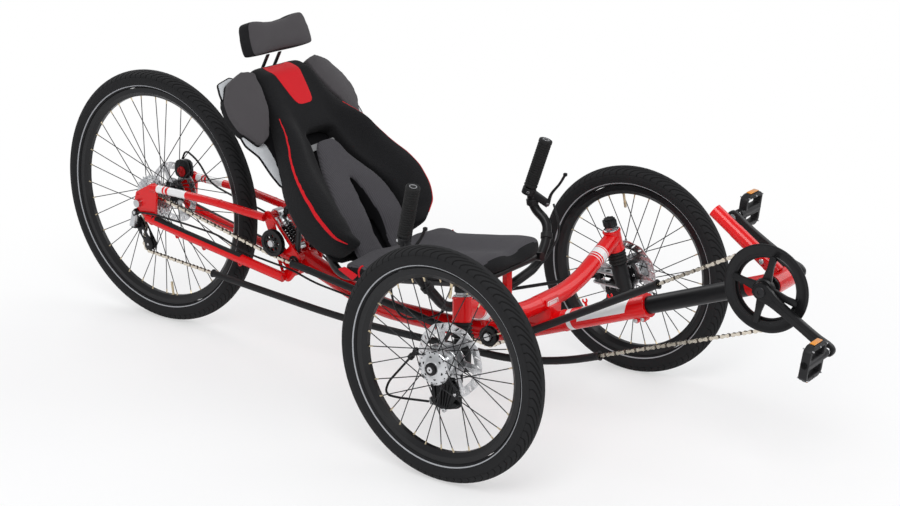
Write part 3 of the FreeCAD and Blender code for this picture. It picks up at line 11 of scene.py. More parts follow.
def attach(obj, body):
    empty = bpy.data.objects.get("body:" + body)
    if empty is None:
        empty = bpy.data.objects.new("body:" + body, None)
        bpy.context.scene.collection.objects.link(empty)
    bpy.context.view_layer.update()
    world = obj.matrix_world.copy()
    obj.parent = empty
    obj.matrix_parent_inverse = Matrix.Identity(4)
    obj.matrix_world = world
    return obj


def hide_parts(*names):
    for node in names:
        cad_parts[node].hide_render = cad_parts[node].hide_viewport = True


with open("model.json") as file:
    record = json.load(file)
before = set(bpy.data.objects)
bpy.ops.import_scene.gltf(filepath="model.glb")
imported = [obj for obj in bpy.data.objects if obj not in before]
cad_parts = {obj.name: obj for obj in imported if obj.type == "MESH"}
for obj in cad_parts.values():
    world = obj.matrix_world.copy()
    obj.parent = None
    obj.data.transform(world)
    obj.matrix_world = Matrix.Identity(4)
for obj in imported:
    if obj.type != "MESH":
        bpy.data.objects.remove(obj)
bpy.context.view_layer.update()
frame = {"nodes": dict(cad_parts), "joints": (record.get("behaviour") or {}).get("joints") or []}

nodes = frame["nodes"]
jointPlace = {joint["name"]: Vector(joint["pos_m"]) for joint in frame["joints"]}
axleY = jointPlace["front_left_spin"].y
crankAxle, rearAxle = jointPlace["crank_turn"], jointPlace["rear_spin"]
leftward, rearward, upward, origin = Vector((1, 0, 0)), Vector((0, 1, 0)), Vector((0, 0, 1)), Vector((0, 0, 0))
bothSides = ((1, "left"), (-1, "right"))
print("frame loaded,", len(nodes), "CAD nodes")


def at(x, y, z):
    # millimetres: to the rider's left, behind the front axle, above the ground
    return Vector((x / 1000, y / 1000 + axleY, z / 1000))


def addObject(name, data):
    item = bpy.data.objects.new(name, data)
    bpy.context.scene.collection.objects.link(item)
    return item


def baked(item):
    # plain mesh of an object with its modifiers applied
    return bpy.data.meshes.new_from_object(item.evaluated_get(bpy.context.evaluated_depsgraph_get()))


# camera, floor and light

cameraView = {"place": (-2984.5, -1963.1, 1516.1), "looking": (0.76542, 0.56878, -0.30103), "roll": -0.39,
              "lens": 69.33, "sensor": 36.0}
studio = {"skyStrength": 0.55, "sky": (0.97, 0.98, 1), "floorColour": (0.95, 0.95, 0.955), "floorSide": 12,
          "floorGlow": (0.5, 1.0), "glowReach": (0.85, 1.9)}
lamps = {
    "keySoftbox": {"place": (-2.2, -1.6, 3.0), "target": (0, 0, 0.35), "energy": 66.0, "size": 2.2},
    "fillSoftbox": {"place": (2.4, -1.8, 2.2), "target": (0, 0, 0.35), "energy": 26.0, "size": 2.6},
    "rimSoftbox": {"place": (0.6, 2.8, 2.4), "target": (0, 0.2, 0.4), "energy": 30.0, "size": 2.2},
}


def aimed(item, place, direction, roll=0.0):
    item.location, item.rotation_mode = place, "QUATERNION"
    tilt = Matrix.Rotation(math.radians(roll), 3, "Z").to_quaternion()
    item.rotation_quaternion = Vector(direction).to_track_quat("-Z", "Y") @ tilt


def makeCamera(view):
    data = bpy.data.cameras.new("mainCamera")
    data.lens, data.sensor_width = view["lens"], view["sensor"]
    data.clip_start, data.clip_end = 0.05, 60
    bpy.context.scene.camera = addObject("mainCamera", data)
    aimed(bpy.context.scene.camera, at(*view["place"]), view["looking"], view["roll"])


def feed(tree, socket, value):
    # a socket is joined, a colour gets its alpha, and None leaves the socket alone
    if isinstance(value, bpy.types.NodeSocket):
        tree.links.new(value, socket)
    elif value is not None:
        socket.default_value = (*value, 1) if socket.type == "RGBA" else value


def addNode(tree, kind, *inOrder, **given):
    # small first letter: a setting of the node; capital: an input, with _ for each space
    node = tree.nodes.new("ShaderNode" + kind)
    for name, value in given.items():
        if name[0].islower():
            setattr(node, name, value)
        else:
            feed(tree, node.inputs[name.replace("_", " ")], value)
    for index, value in enumerate(inOrder):
        feed(tree, node.inputs[index], value)
    return node


def mathNode(tree, operation, *values, clamp=False):
    return addNode(tree, "Math", *values, operation=operation, use_clamp=clamp).outputs[0]


def objectPlace(tree):
    return addNode(tree, "TexCoord").outputs["Object"]


def floorPaint(light):
    # pale floor that turns white for the camera away from the trike
    paint = bpy.data.materials.new("floorPaint")
    paint.use_nodes = True
    tree = paint.node_tree
    shader = tree.nodes["Principled BSDF"]
    for name, value in (("Base Color", light["floorColour"]), ("Roughness", 0.62), ("Specular IOR Level", 0.2)):
        feed(tree, shader.inputs[name], value)
    away = addNode(tree, "VectorMath", objectPlace(tree), operation="LENGTH")
    (near, far), (dim, bright) = light["glowReach"], light["floorGlow"]
    fade = addNode(tree, "MapRange", interpolation_type="SMOOTHSTEP", Value=away.outputs["Value"], From_Min=near,
                   From_Max=far, To_Min=dim, To_Max=bright)
    seen = addNode(tree, "LightPath").outputs["Is Camera Ray"]
    glow = addNode(tree, "Emission", (1, 1, 1))
    mix = addNode(tree, "MixShader", mathNode(tree, "MULTIPLY", fade.outputs[0], seen), shader.outputs[0],
                  glow.outputs[0])
    tree.links.new(mix.outputs[0], tree.nodes["Material Output"].inputs["Surface"])
    return paint


def makeStudio(light):
    world = bpy.data.worlds.new("studio")
    bpy.context.scene.world = world
    world.use_nodes = True
    tree = world.node_tree
    tree.nodes.clear()
    seen = addNode(tree, "Background", (1, 1, 1))
    lit = addNode(tree, "Background", light["sky"], light["skyStrength"])
    camera = addNode(tree, "LightPath").outputs["Is Camera Ray"]
    addNode(tree, "OutputWorld", addNode(tree, "MixShader", camera, lit.outputs[0], seen.outputs[0]).outputs[0])
    for name, lamp in lamps.items():
        data = bpy.data.lights.new(name, "AREA")
        data.energy, data.size, data.shape = lamp["energy"], lamp["size"], "DISK"
        aimed(addObject(name, data), lamp["place"], Vector(lamp["target"]) - Vector(lamp["place"]))
    side = light["floorSide"]
    mesh = bpy.data.meshes.new("studioFloor")
    mesh.from_pydata([(-side, -side, 0), (side, -side, 0), (side, side, 0), (-side, side, 0)], [], [(0, 1, 2, 3)])
    mesh.materials.append(floorPaint(light))
    addObject("studioFloor", mesh)


bpy.context.scene.view_settings.view_transform = "Standard"
makeCamera(cameraView)
makeStudio(studio)
print("camera and studio ready")


# shapes: vertices in metres, faces and a material number for each face

def shape(verts, faces, mat=0):
    return {"verts": np.asarray(verts, float).reshape(-1, 3), "faces": [tuple(f) for f in faces],
            "mats": [mat] * len(faces)}


def moved(item, matrix):
    turned = np.asarray(matrix, float)
    return {**item, "verts": item["verts"] @ turned[:3, :3].T + turned[:3, 3]}


def gridFaces(rows, columns, roundRows=True, roundColumns=True):
    faces = []
    for row in range(rows - (not roundRows)):
        for column in range(columns - (not roundColumns)):
            above, beside = (row + 1) % rows * columns, (column + 1) % columns
            faces.append((row * columns + column, row * columns + beside, above + beside, above + column))
    return faces


def planeAt(place, across, up):
    # local millimetres (across, up, outward) to metres
    u = Vector(across).normalized()
    v = (Vector(up) - u * u.dot(Vector(up))).normalized()
    turn = Matrix((u, v, u.cross(v))).transposed()
    return Matrix.Translation(Vector(place)) @ turn.to_4x4() @ Matrix.Scale(0.001, 4)


def wheelPlane(centre):
    # local (backward, up, leftward)
    return planeAt(centre, rearward, upward)


def lathe(profile, centre, axis=leftward, steps=32, mat=0):
    # profile: closed ring of (along the axis, radius) in millimetres
    axis = Vector(axis).normalized()
    side = axis.orthogonal().normalized()
    rows = np.array(profile, float) / 1000
    angles = (np.arange(steps) * 2 * math.pi / steps)[:, None]
    ring = np.cos(angles) * np.array(side) + np.sin(angles) * np.array(axis.cross(side))
    verts = np.array(centre) + rows[None, :, :1] * np.array(axis) + rows[None, :, 1:] * ring[:, None, :]
    return shape(verts, gridFaces(steps, len(rows)), mat)


def bar(radius, low, high, centre, axis=leftward, steps=32, mat=0):
    return lathe([(low, 0), (low, radius), (high, radius), (high, 0)], centre, axis, steps, mat)


def curvePoint(before, start, end, after, t):
    # Catmull-Rom
    return 0.5 * (2 * start + (end - before) * t + (2 * before - 5 * start + 4 * end - after) * t * t
                  + (3 * start - before - 3 * end + after) * t ** 3)


def smoothLine(points, steps):
    knots = [np.array(p, float) for p in points]
    knots = [2 * knots[0] - knots[1], *knots, 2 * knots[-1] - knots[-2]]
    line = [curvePoint(*four, step / steps) for four in zip(knots, knots[1:], knots[2:], knots[3:])
            for step in range(steps)]
    return np.array(line + [knots[-2]])


def softLoop(points, steps=4):
    knots = np.array(points, float)
    fours = zip(np.roll(knots, 1, 0), knots, np.roll(knots, -1, 0), np.roll(knots, -2, 0))
    return [tuple(curvePoint(*four, step / steps)) for four in fours for step in range(steps)]


def lineTangents(line):
    tangents = np.gradient(line, axis=0)
    return tangents / np.linalg.norm(tangents, axis=1)[:, None]


def sizesAlong(line, steps, sizes, count):
    return np.interp(np.arange(len(line)) / steps, np.arange(count), sizes)


def sweep(points, radii, sides=10, steps=6, mat=0, flat=1.0, flatDirection=None):
    # tube through points in metres with a radius in millimetres at each, flattened along one direction
    line = smoothLine(points, steps)
    tangents = lineTangents(line)
    normal = np.array(flatDirection or Vector(tangents[0]).orthogonal(), float)
    angles = (np.arange(sides) * 2 * math.pi / sides)[:, None]
    verts = []
    for place, tangent, size in zip(line, tangents, sizesAlong(line, steps, radii, len(points)) / 1000):
        normal = normal - tangent * normal.dot(tangent)
        normal /= np.linalg.norm(normal)
        other = np.cross(tangent, normal)
        verts.append(place + size * (np.cos(angles) * normal * flat + np.sin(angles) * other))
    last = (len(line) - 1) * sides
    ends = [tuple(range(sides))[::-1], tuple(range(last, last + sides))]
    return shape(np.concatenate(verts), gridFaces(len(line), sides, roundRows=False) + ends, mat)


def rod(start, end, radius, sides, mat):
    # straight round bar with eased ends
    length = (end - start).length * 1000
    ease = min(0.6, radius * 0.4, length * 0.3)
    profile = [(0, 0), (0, radius - ease), (ease, radius), (length - ease, radius), (length, radius - ease),
               (length, 0)]
    return lathe(profile, start, end - start, sides, mat)


def loopMesh(outline, holes, thick, bevel):
    curve = bpy.data.curves.new("outline", "CURVE")
    curve.dimensions, curve.fill_mode = "2D", "BOTH"
    curve.extrude, curve.bevel_depth = thick / 2 - bevel, bevel
    curve.bevel_resolution, curve.offset = 1, -bevel
    for loop in (outline, *holes):
        spline = curve.splines.new("POLY")
        spline.points.add(len(loop) - 1)
        spline.points.foreach_set("co", [c for u, v in loop for c in (u, v, 0, 1)])
        spline.use_cyclic_u = True
    item = addObject("outline", curve)
    mesh = baked(item)
    bpy.data.objects.remove(item)
    bpy.data.curves.remove(curve)
    return mesh


def pointsOf(mesh):
    verts = np.zeros(len(mesh.vertices) * 3)
    mesh.vertices.foreach_get("co", verts)
    return verts.reshape(-1, 3)


def plate(outline, holes, thick, matrix, bevel=0.4, mat=0):
    # flat piece with eased edges, outline and holes in the matrix's millimetres
    mesh = loopMesh(outline, holes, thick, bevel)
    flat = shape(pointsOf(mesh), [p.vertices for p in mesh.polygons], mat)
    bpy.data.meshes.remove(mesh)
    return moved(flat, matrix)


def ringLoop(u, v, radius, count=24, turn=0.0):
    angles = [turn + a * 2 * math.pi / count for a in range(count)]
    return [(u + radius * math.cos(a), v + radius * math.sin(a)) for a in angles]


def ringOf(holeRadius, count, radius, sides):
    # round holes on a circle
    return [ringLoop(u, v, holeRadius, sides) for u, v in ringLoop(0, 0, radius, count)]


def slotLoop(startAngle, endAngle, inner, outer, count):
    # curved window between two radii; angles in degrees
    angles = np.radians(np.linspace(startAngle, endAngle, count))
    return ([(outer * math.cos(a), outer * math.sin(a)) for a in angles]
            + [(inner * math.cos(a), inner * math.sin(a)) for a in reversed(angles)])


def neighbours(corners):
    size = len(corners)
    return [[Vector(corners[j % size]) for j in (i - 1, i, i + 1)] for i in range(size)]


def roundLoop(corners, radius, count=5):
    # polygon with rounded corners
    loop = []
    for before, here, after in neighbours(corners):
        back, ahead = before - here, after - here
        reach = min(radius, back.length * 0.45, ahead.length * 0.45)
        start, end = here + back.normalized() * reach, here + ahead.normalized() * reach
        for step in range(count + 1):
            t = step / count
            loop.append(tuple(start * (1 - t) ** 2 + here * 2 * t * (1 - t) + end * t * t))
    return loop


def edgeRing(loop, width):
    # the same outline drawn in by a width
    made = []
    for before, here, after in neighbours(loop):
        run = (after - before).normalized()
        made.append((here.x - run.y * width, here.y + run.x * width))
    return made


def toothedLoop(teeth, root, tip):
    half = math.pi / teeth
    tooth = ((-0.84, root), (-0.42, root + 0.3), (-0.12, tip), (0.12, tip), (0.42, root + 0.3))
    return [(radius * math.cos((2 * k + offset) * half), radius * math.sin((2 * k + offset) * half))
            for k in range(teeth) for offset, radius in tooth]


def castBlock(corners, ease, mat=0):
    # convex casting over points in metres
    mesh = bmesh.new()
    for corner in corners:
        mesh.verts.new(Vector(corner) * 1000)
    hull = bmesh.ops.convex_hull(mesh, input=mesh.verts[:])
    loose = {v for v in hull["geom_interior"] + hull["geom_unused"] if isinstance(v, bmesh.types.BMVert)}
    bmesh.ops.delete(mesh, geom=list(loose), context="VERTS")
    bmesh.ops.dissolve_limit(mesh, angle_limit=math.radians(3), verts=mesh.verts[:], edges=mesh.edges[:])
    bmesh.ops.bevel(mesh, geom=mesh.edges[:], offset=ease, segments=2, profile=0.6, affect="EDGES",
                    clamp_overlap=True)
    mesh.verts.index_update()
    cast = shape([v.co / 1000 for v in mesh.verts], [[v.index for v in f.verts] for f in mesh.faces], mat)
    mesh.free()
    return cast


def cleanMesh(mesh, crease=None):
    # doubles merged and faces outward; with a crease angle, smooth up to it
    work = bmesh.new()
    work.from_mesh(mesh)
    bmesh.ops.remove_doubles(work, verts=work.verts[:], dist=1e-6)
    bmesh.ops.recalc_face_normals(work, faces=work.faces[:])
    work.to_mesh(mesh)
    work.free()
    if crease is not None:
        mesh.shade_smooth()
        mesh.set_sharp_from_angle(angle=math.radians(crease))


def paint(mesh, finishNames):
    mesh.materials.clear()
    for name in finishNames:
        mesh.materials.append(materials[name])


def rawMesh(name, shapes, finishNames=()):
    faces, start = [], 0
    for item in shapes:
        faces += [tuple(i + start for i in f) for f in item["faces"]]
        start += len(item["verts"])
    mesh = bpy.data.meshes.new(name)
    mesh.from_pydata(np.concatenate([item["verts"] for item in shapes]).tolist(), [], faces)
    paint(mesh, finishNames)
    mesh.polygons.foreach_set("material_index", [mat for item in shapes for mat in item["mats"]])
    if "groove" in shapes[0]:
        mesh.attributes.new("groove", "FLOAT", "POINT").data.foreach_set("value", shapes[0]["groove"])
    return mesh


def settle(piece, body, replaced=()):
    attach(piece, body)
    if replaced:
        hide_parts(*replaced)
    return piece


def makePiece(name, shapes, finishNames, body="frame", replaced=(), crease=32):
    mesh = rawMesh(name, shapes, finishNames)
    cleanMesh(mesh, crease)
    return settle(addObject(name, mesh), body, replaced)


# shared shader effects: each group gives colours, masks, values or heights only

def grain(tree, given, place):
    # fine moulded or painted grain and a slow change of tone
    fine = addNode(tree, "TexNoise", Vector=place, Scale=given["Size"], Detail=3.0, Roughness=0.6)
    slow = addNode(tree, "TexNoise", Vector=place, Scale=given["Patches"], Detail=4.0, Roughness=0.62)
    return fine.outputs["Fac"], slow.outputs["Fac"]


def scuffs(tree, given, place):
    # thin scratches and rubbed places
    stretch = addNode(tree, "Mapping", Vector=place, Scale=(1, 0.12, 1), Rotation=(0.4, 0.2, 0.7))
    marks = addNode(tree, "TexNoise", Vector=stretch.outputs[0], Scale=given["Size"], Detail=6.0, Roughness=0.75)
    raised = mathNode(tree, "SUBTRACT", marks.outputs["Fac"], 0.58)
    return (mathNode(tree, "MULTIPLY", mathNode(tree, "MULTIPLY", raised, 9.0, clamp=True), given["Amount"]),)


def stripe(tree, given, place):
    # 1 between Low and High along a direction through the object, in metres
    along = addNode(tree, "VectorMath", place, given["Direction"], operation="DOT_PRODUCT").outputs["Value"]
    above = mathNode(tree, "GREATER_THAN", along, given["Low"])
    below = mathNode(tree, "LESS_THAN", along, given["High"])
    return (mathNode(tree, "MULTIPLY", above, below),)


def wheelPlaceOf(tree, given, place):
    # distance from the wheel's axle and from its middle plane, in metres
    offset = addNode(tree, "VectorMath", place, given["Centre"], operation="SUBTRACT")
    x, y, z = addNode(tree, "SeparateXYZ", offset.outputs[0]).outputs
    squares = mathNode(tree, "ADD", mathNode(tree, "MULTIPLY", y, y), mathNode(tree, "MULTIPLY", z, z))
    return mathNode(tree, "SQRT", squares), mathNode(tree, "ABSOLUTE", x)


def spacerKnit(tree, given, place):
    # round pores between raised threads
    pores = addNode(tree, "TexVoronoi", feature="SMOOTH_F1", Vector=place, Scale=given["Pores"], Smoothness=0.35,
                    Randomness=0.35)
    deep = mathNode(tree, "MULTIPLY", pores.outputs["Distance"], 1.7, clamp=True)
    return deep, mathNode(tree, "SUBTRACT", 1.0, deep, clamp=True)


def weave(tree, given, place):
    # over and under threads along two directions, with ribs across one of them
    x, y, z = addNode(tree, "SeparateXYZ", place).outputs
    across = mathNode(tree, "SINE", mathNode(tree, "MULTIPLY", x, given["Threads"]))
    along = mathNode(tree, "SINE", mathNode(tree, "MULTIPLY", mathNode(tree, "ADD", y, z), given["Threads"]))
    height = mathNode(tree, "MULTIPLY_ADD", mathNode(tree, "MULTIPLY", across, along), 0.5)
    return height, mathNode(tree, "ABSOLUTE", mathNode(tree, "SINE", mathNode(tree, "MULTIPLY", x, given["Ribs"])))


effects = {
    "grain": ("surfaceGrain", grain, {"Size": 900.0, "Patches": 18.0}, ("Height", "Tone")),
    "scuffs": ("rubbedMarks", scuffs, {"Size": 60.0, "Amount": 0.25}, ("Mask",)),
    "stripe": ("paintStripe", stripe, {"Direction": None, "Low": 0.0, "High": 1.0}, ("Mask",)),
    "wheel": ("wheelPlace", wheelPlaceOf, {"Centre": None}, ("Radius", "Aside")),
    "spacer": ("spacerKnit", spacerKnit, {"Pores": 420.0}, ("Height", "Pore")),
    "weave": ("clothWeave", weave, {"Threads": 900.0, "Ribs": 0.0}, ("Height", "Rib")),
}


def makeGroup(name, build, inputs, outputs):
    group = bpy.data.node_groups.new(name, "ShaderNodeTree")
    for socket, value in inputs.items():
        kind = "Vector" if value is None else "Float"
        made = group.interface.new_socket(socket, in_out="INPUT", socket_type="NodeSocket" + kind)
        if value is not None:
            made.default_value = value
    for socket in outputs:
        group.interface.new_socket(socket, in_out="OUTPUT", socket_type="NodeSocketFloat")
    given, out = group.nodes.new("NodeGroupInput"), group.nodes.new("NodeGroupOutput")
    for socket, value in zip(outputs, build(group, given.outputs, objectPlace(group))):
        group.links.new(value, out.inputs[socket])
    return group


groups = {key: makeGroup(*effect) for key, effect in effects.items()}


# materials

def newMaterial(name, colour, roughness, metallic=0.0, coat=0.0, sheen=0.0, specular=0.3):
    material = bpy.data.materials.new(name)
    material.use_nodes = True
    shader = material.node_tree.nodes["Principled BSDF"]
    for socket, value in (("Base Color", colour), ("Roughness", roughness), ("Metallic", metallic),
                          ("Coat Weight", coat), ("Coat Roughness", 0.06), ("Specular IOR Level", specular),
                          ("Sheen Weight", sheen), ("Sheen Roughness", 0.5)):
        feed(material.node_tree, shader.inputs[socket], value)
    return material, material.node_tree, shader


def useGroup(tree, key, **sockets):
    return addNode(tree, "Group", node_tree=groups[key], **sockets).outputs


def mixColour(tree, factor, first, second):
    mix = addNode(tree, "Mix", factor, data_type="RGBA")
    feed(tree, mix.inputs[6], first)
    feed(tree, mix.inputs[7], second)
    return mix.outputs[2]


def bumpFrom(tree, shader, height, distance):
    bump = addNode(tree, "Bump", Strength=1.0, Distance=distance, Height=height)
    tree.links.new(bump.outputs[0], shader.inputs["Normal"])


def roughnessFrom(tree, shader, value, low, high):
    mapped = addNode(tree, "MapRange", To_Min=low, To_Max=high, Value=value)
    tree.links.new(mapped.outputs[0], shader.inputs["Roughness"])


def times(colour, share, extra=0.0):
    return tuple(min(1, c * share + extra) for c in colour)


hardBase = {"metallic": 0.0, "coat": 0.0, "specular": 0.3, "grain": 900.0, "scuffs": 0.2, "shade": 0.86,
            "spread": 0.08, "bump": 0.00004, "stripes": ()}


def hardFinish(name, given):
    # paint, anodising, plastic and plain metal
    settings = {**hardBase, **given}
    base, roughness, spread = settings["colour"], settings["roughness"], settings["spread"]
    material, tree, shader = newMaterial(name, base, roughness, settings["metallic"], settings["coat"],
                                         specular=settings["specular"])
    fine = useGroup(tree, "grain", Size=settings["grain"], Patches=14.0)
    rubbed = useGroup(tree, "scuffs", Size=60.0, Amount=settings["scuffs"])
    colour = mixColour(tree, fine["Tone"], times(base, settings["shade"]), base)
    colour = mixColour(tree, rubbed["Mask"], colour, settings.get("rubbed", times(base, 1.5, 0.01)))
    for band in settings["stripes"]:
        masks = [useGroup(tree, "stripe", Direction=direction, Low=low, High=high)["Mask"]
                 for direction, low, high in band["limits"]]
        factor = mathNode(tree, "MULTIPLY", *masks) if len(masks) > 1 else masks[0]
        colour = mixColour(tree, factor, colour, band.get("colour", (0.86, 0.86, 0.86)))
    tree.links.new(colour, shader.inputs["Base Color"])
    roughnessFrom(tree, shader, fine["Tone"], roughness - spread, roughness + spread)
    bumpFrom(tree, shader, fine["Height"], settings["bump"])
    return material


red = (0.76, 0.002, 0.004)
boomDirection, boomNormal = Vector((0, -0.9367, 0.3502)), Vector((0, 0.3502, 0.9367))


def onBoomAxis(setback):
    return at(0, setback, 239.4 - 0.3739 * (setback + 38))


def acrossBoom(direction, start, end, *more, **colour):
    # painted band between two places along the boom
    low, high = direction.dot(onBoomAxis(start)), direction.dot(onBoomAxis(end))
    return {"limits": [(direction, low, high), *more], **colour}


def armStripes(side):
    # one broad band between thin lines, below each head tube
    bands = ((0.3060, 0.3078), (0.3135, 0.3160), (0.3205, 0.3380), (0.3405, 0.3428))
    return [{"limits": [((side * 0.93, 0.0, 0.365), low, high)]} for low, high in bands]


upperHalf = (boomNormal, boomNormal.dot(onBoomAxis(-100)) - 0.003, 5.0)
frameStripes = [acrossBoom(boomDirection, -70, -81),
                acrossBoom(boomDirection * 0.9 - boomNormal * 0.43589, -98, -216, upperHalf)]
boomSleeve = [acrossBoom(boomDirection, -487, -600, colour=red),
              acrossBoom(boomDirection, -471, -473, colour=(0.10, 0.10, 0.11))]
rearEnd, aboveStays = axleY + 1.175, ((0, 0, 1), 0.335, 5.0)
stayStripes = [{"limits": [((0, 1, 0), rearEnd - low, rearEnd - high), aboveStays]}
               for low, high in ((0.088, 0.068), (0.098, 0.094), (0.163, 0.106))]

redBase = {"slot": "red_paint", "colour": red, "roughness": 0.24, "coat": 0.3, "grain": 420, "scuffs": 0.04,
           "spread": 0.05, "shade": 0.94}
steelBase = {"slot": "spoke_steel", "metallic": 1.0}
blackBase = {"slot": "black_alloy", "colour": (0.010, 0.010, 0.011)}
finishes = {
    "redPaint": redBase,
    "redArmLeft": {**redBase, "stripes": armStripes(1)},
    "redArmRight": {**redBase, "stripes": armStripes(-1)},
    "redFrame": {**redBase, "stripes": frameStripes},
    "redStays": {**redBase, "stripes": stayStripes},
    "boomBlack": {"colour": (0.006, 0.006, 0.007), "roughness": 0.36, "coat": 0.06, "specular": 0.2, "scuffs": 0.12,
                  "stripes": boomSleeve},
    "blackPaint": {**blackBase, "roughness": 0.32, "coat": 0.15, "scuffs": 0.12},
    "blackAnodised": {**blackBase, "colour": (0.013, 0.013, 0.014), "roughness": 0.34, "metallic": 0.3,
                      "scuffs": 0.25},
    "blackPlastic": {**blackBase, "slot": "black_plastic", "roughness": 0.5, "grain": 1500, "bump": 0.00008},
    "gripRubber": {"slot": "grip_rubber", "colour": (0.012, 0.012, 0.012), "roughness": 0.72, "grain": 1600,
                   "bump": 0.00012},
    "cableSheath": {**blackBase, "roughness": 0.42, "grain": 1300},
    "silverAlloy": {"slot": "silver_alloy", "colour": (0.68, 0.69, 0.70), "roughness": 0.3, "metallic": 1.0,
                    "grain": 1200, "scuffs": 0.25, "rubbed": (0.9, 0.9, 0.92)},
    "polishedSteel": {**steelBase, "colour": (0.62, 0.62, 0.63), "roughness": 0.2},
    "darkSpoke": {**steelBase, "colour": (0.035, 0.035, 0.037), "roughness": 0.32, "metallic": 0.8},
    "chainSteel": {"slot": "chain_steel", "colour": (0.78, 0.71, 0.60), "roughness": 0.26, "metallic": 1.0,
                   "shade": 0.85},
    "chainDark": {"slot": "chain_steel", "colour": (0.13, 0.11, 0.09), "roughness": 0.4, "metallic": 0.9,
                  "shade": 0.7},
    "brass": {**steelBase, "colour": (0.74, 0.62, 0.42), "roughness": 0.34},
    "whitePlate": {"slot": "red_paint", "colour": (0.85, 0.85, 0.85), "roughness": 0.35, "coat": 0.3, "scuffs": 0.03},
    "redAnodised": {"colour": (0.62, 0.01, 0.012), "roughness": 0.3, "metallic": 0.6, "coat": 0.3},
    "orangeReflector": {"slot": "black_plastic", "colour": (0.85, 0.30, 0.01), "roughness": 0.18, "coat": 0.8,
                        "grain": 500, "bump": 0.0004},
    "rimBlack": {"colour": (0.006, 0.006, 0.007), "roughness": 0.34, "coat": 0.1, "scuffs": 0.1},
}
materials = {name: hardFinish(name, settings) for name, settings in finishes.items()}


def tyreRubber(name, centre, bead):
    # painted shade in the grooves, a silver line round each side and fine rings below the tread
    material, tree, shader = newMaterial(name, (0.022, 0.022, 0.023), 0.72, specular=0.22)
    fine = useGroup(tree, "grain", Size=900.0, Patches=30.0)
    radius, aside = useGroup(tree, "wheel", Centre=centre)
    colour = mixColour(tree, fine["Tone"], (0.009, 0.009, 0.010), (0.017, 0.017, 0.018))
    groove = addNode(tree, "Attribute", attribute_name="groove").outputs["Fac"]
    # painted shade: the colour is darkened where the groove attribute marks the tread grooves
    colour = mixColour(tree, groove, colour, (0.0015, 0.0015, 0.0016))
    fromLine = mathNode(tree, "ABSOLUTE", mathNode(tree, "SUBTRACT", radius, bead + 0.0088))
    line = mathNode(tree, "LESS_THAN", fromLine, 0.0011)
    line = mathNode(tree, "MULTIPLY", line, mathNode(tree, "GREATER_THAN", aside, 0.013))
    tree.links.new(mixColour(tree, line, colour, (0.40, 0.41, 0.43)), shader.inputs["Base Color"])
    rings = mathNode(tree, "SINE", mathNode(tree, "MULTIPLY", radius, 3900.0))
    rings = mathNode(tree, "MULTIPLY", rings, mathNode(tree, "LESS_THAN", radius, bead + 0.030))
    height = mathNode(tree, "ADD", mathNode(tree, "MULTIPLY", rings, 0.35), fine["Height"])
    bumpFrom(tree, shader, height, 0.00016)
    roughnessFrom(tree, shader, fine["Tone"], 0.62, 0.82)
    return material


def rotorSteel(name, centre):
    # ground in rings, polished where the pads rub
    material, tree, shader = newMaterial(name, (0.66, 0.66, 0.67), 0.28, metallic=1.0)
    radius = useGroup(tree, "wheel", Centre=centre)["Radius"]
    lines = addNode(tree, "CombineXYZ", mathNode(tree, "MULTIPLY", radius, 2600.0))
    ground = addNode(tree, "TexNoise", Vector=lines.outputs[0], Scale=1.0, Detail=3.0).outputs["Fac"]
    colour = mixColour(tree, ground, (0.50, 0.50, 0.51), (0.74, 0.74, 0.75))
    rubbed = mathNode(tree, "MULTIPLY", mathNode(tree, "GREATER_THAN", radius, 0.061), 0.4)
    tree.links.new(mixColour(tree, rubbed, colour, (0.82, 0.82, 0.83)), shader.inputs["Base Color"])
    roughnessFrom(tree, shader, ground, 0.2, 0.36)
    bumpFrom(tree, shader, ground, 0.00004)
    return material


def seatCloth(name, settings):
    base, ribs = settings["colour"], settings.get("ribs", 0.0)
    material, tree, shader = newMaterial(name, base, settings["roughness"], sheen=settings["sheen"], specular=0.15)
    fine = useGroup(tree, "grain", Size=700.0, Patches=9.0)
    if settings["kind"] == "spacer":
        height, deep = useGroup(tree, "spacer", Pores=settings["size"])
    else:
        threads, rib = useGroup(tree, "weave", Threads=settings["size"], Ribs=ribs)
        deep = mathNode(tree, "SUBTRACT", 1.0, rib) if ribs else threads
        height = mathNode(tree, "ADD", threads, mathNode(tree, "MULTIPLY", rib, settings.get("ribDepth", 0.0)))
    # painted shade: the pores of the spacer knit and the troughs between the ribs are darkened to the share deep of
    # the colour; on plain weaves the darkening follows the thread pattern
    colour = mixColour(tree, deep, base, times(base, settings["deep"]))
    faded = mathNode(tree, "MULTIPLY", fine["Tone"], 0.35)
    colour = mixColour(tree, faded, colour, times(base, settings.get("faded", 1.6)))
    tree.links.new(colour, shader.inputs["Base Color"])
    height = mathNode(tree, "ADD", height, mathNode(tree, "MULTIPLY", fine["Height"], 0.4))
    bumpFrom(tree, shader, height, settings["bump"])
    return material


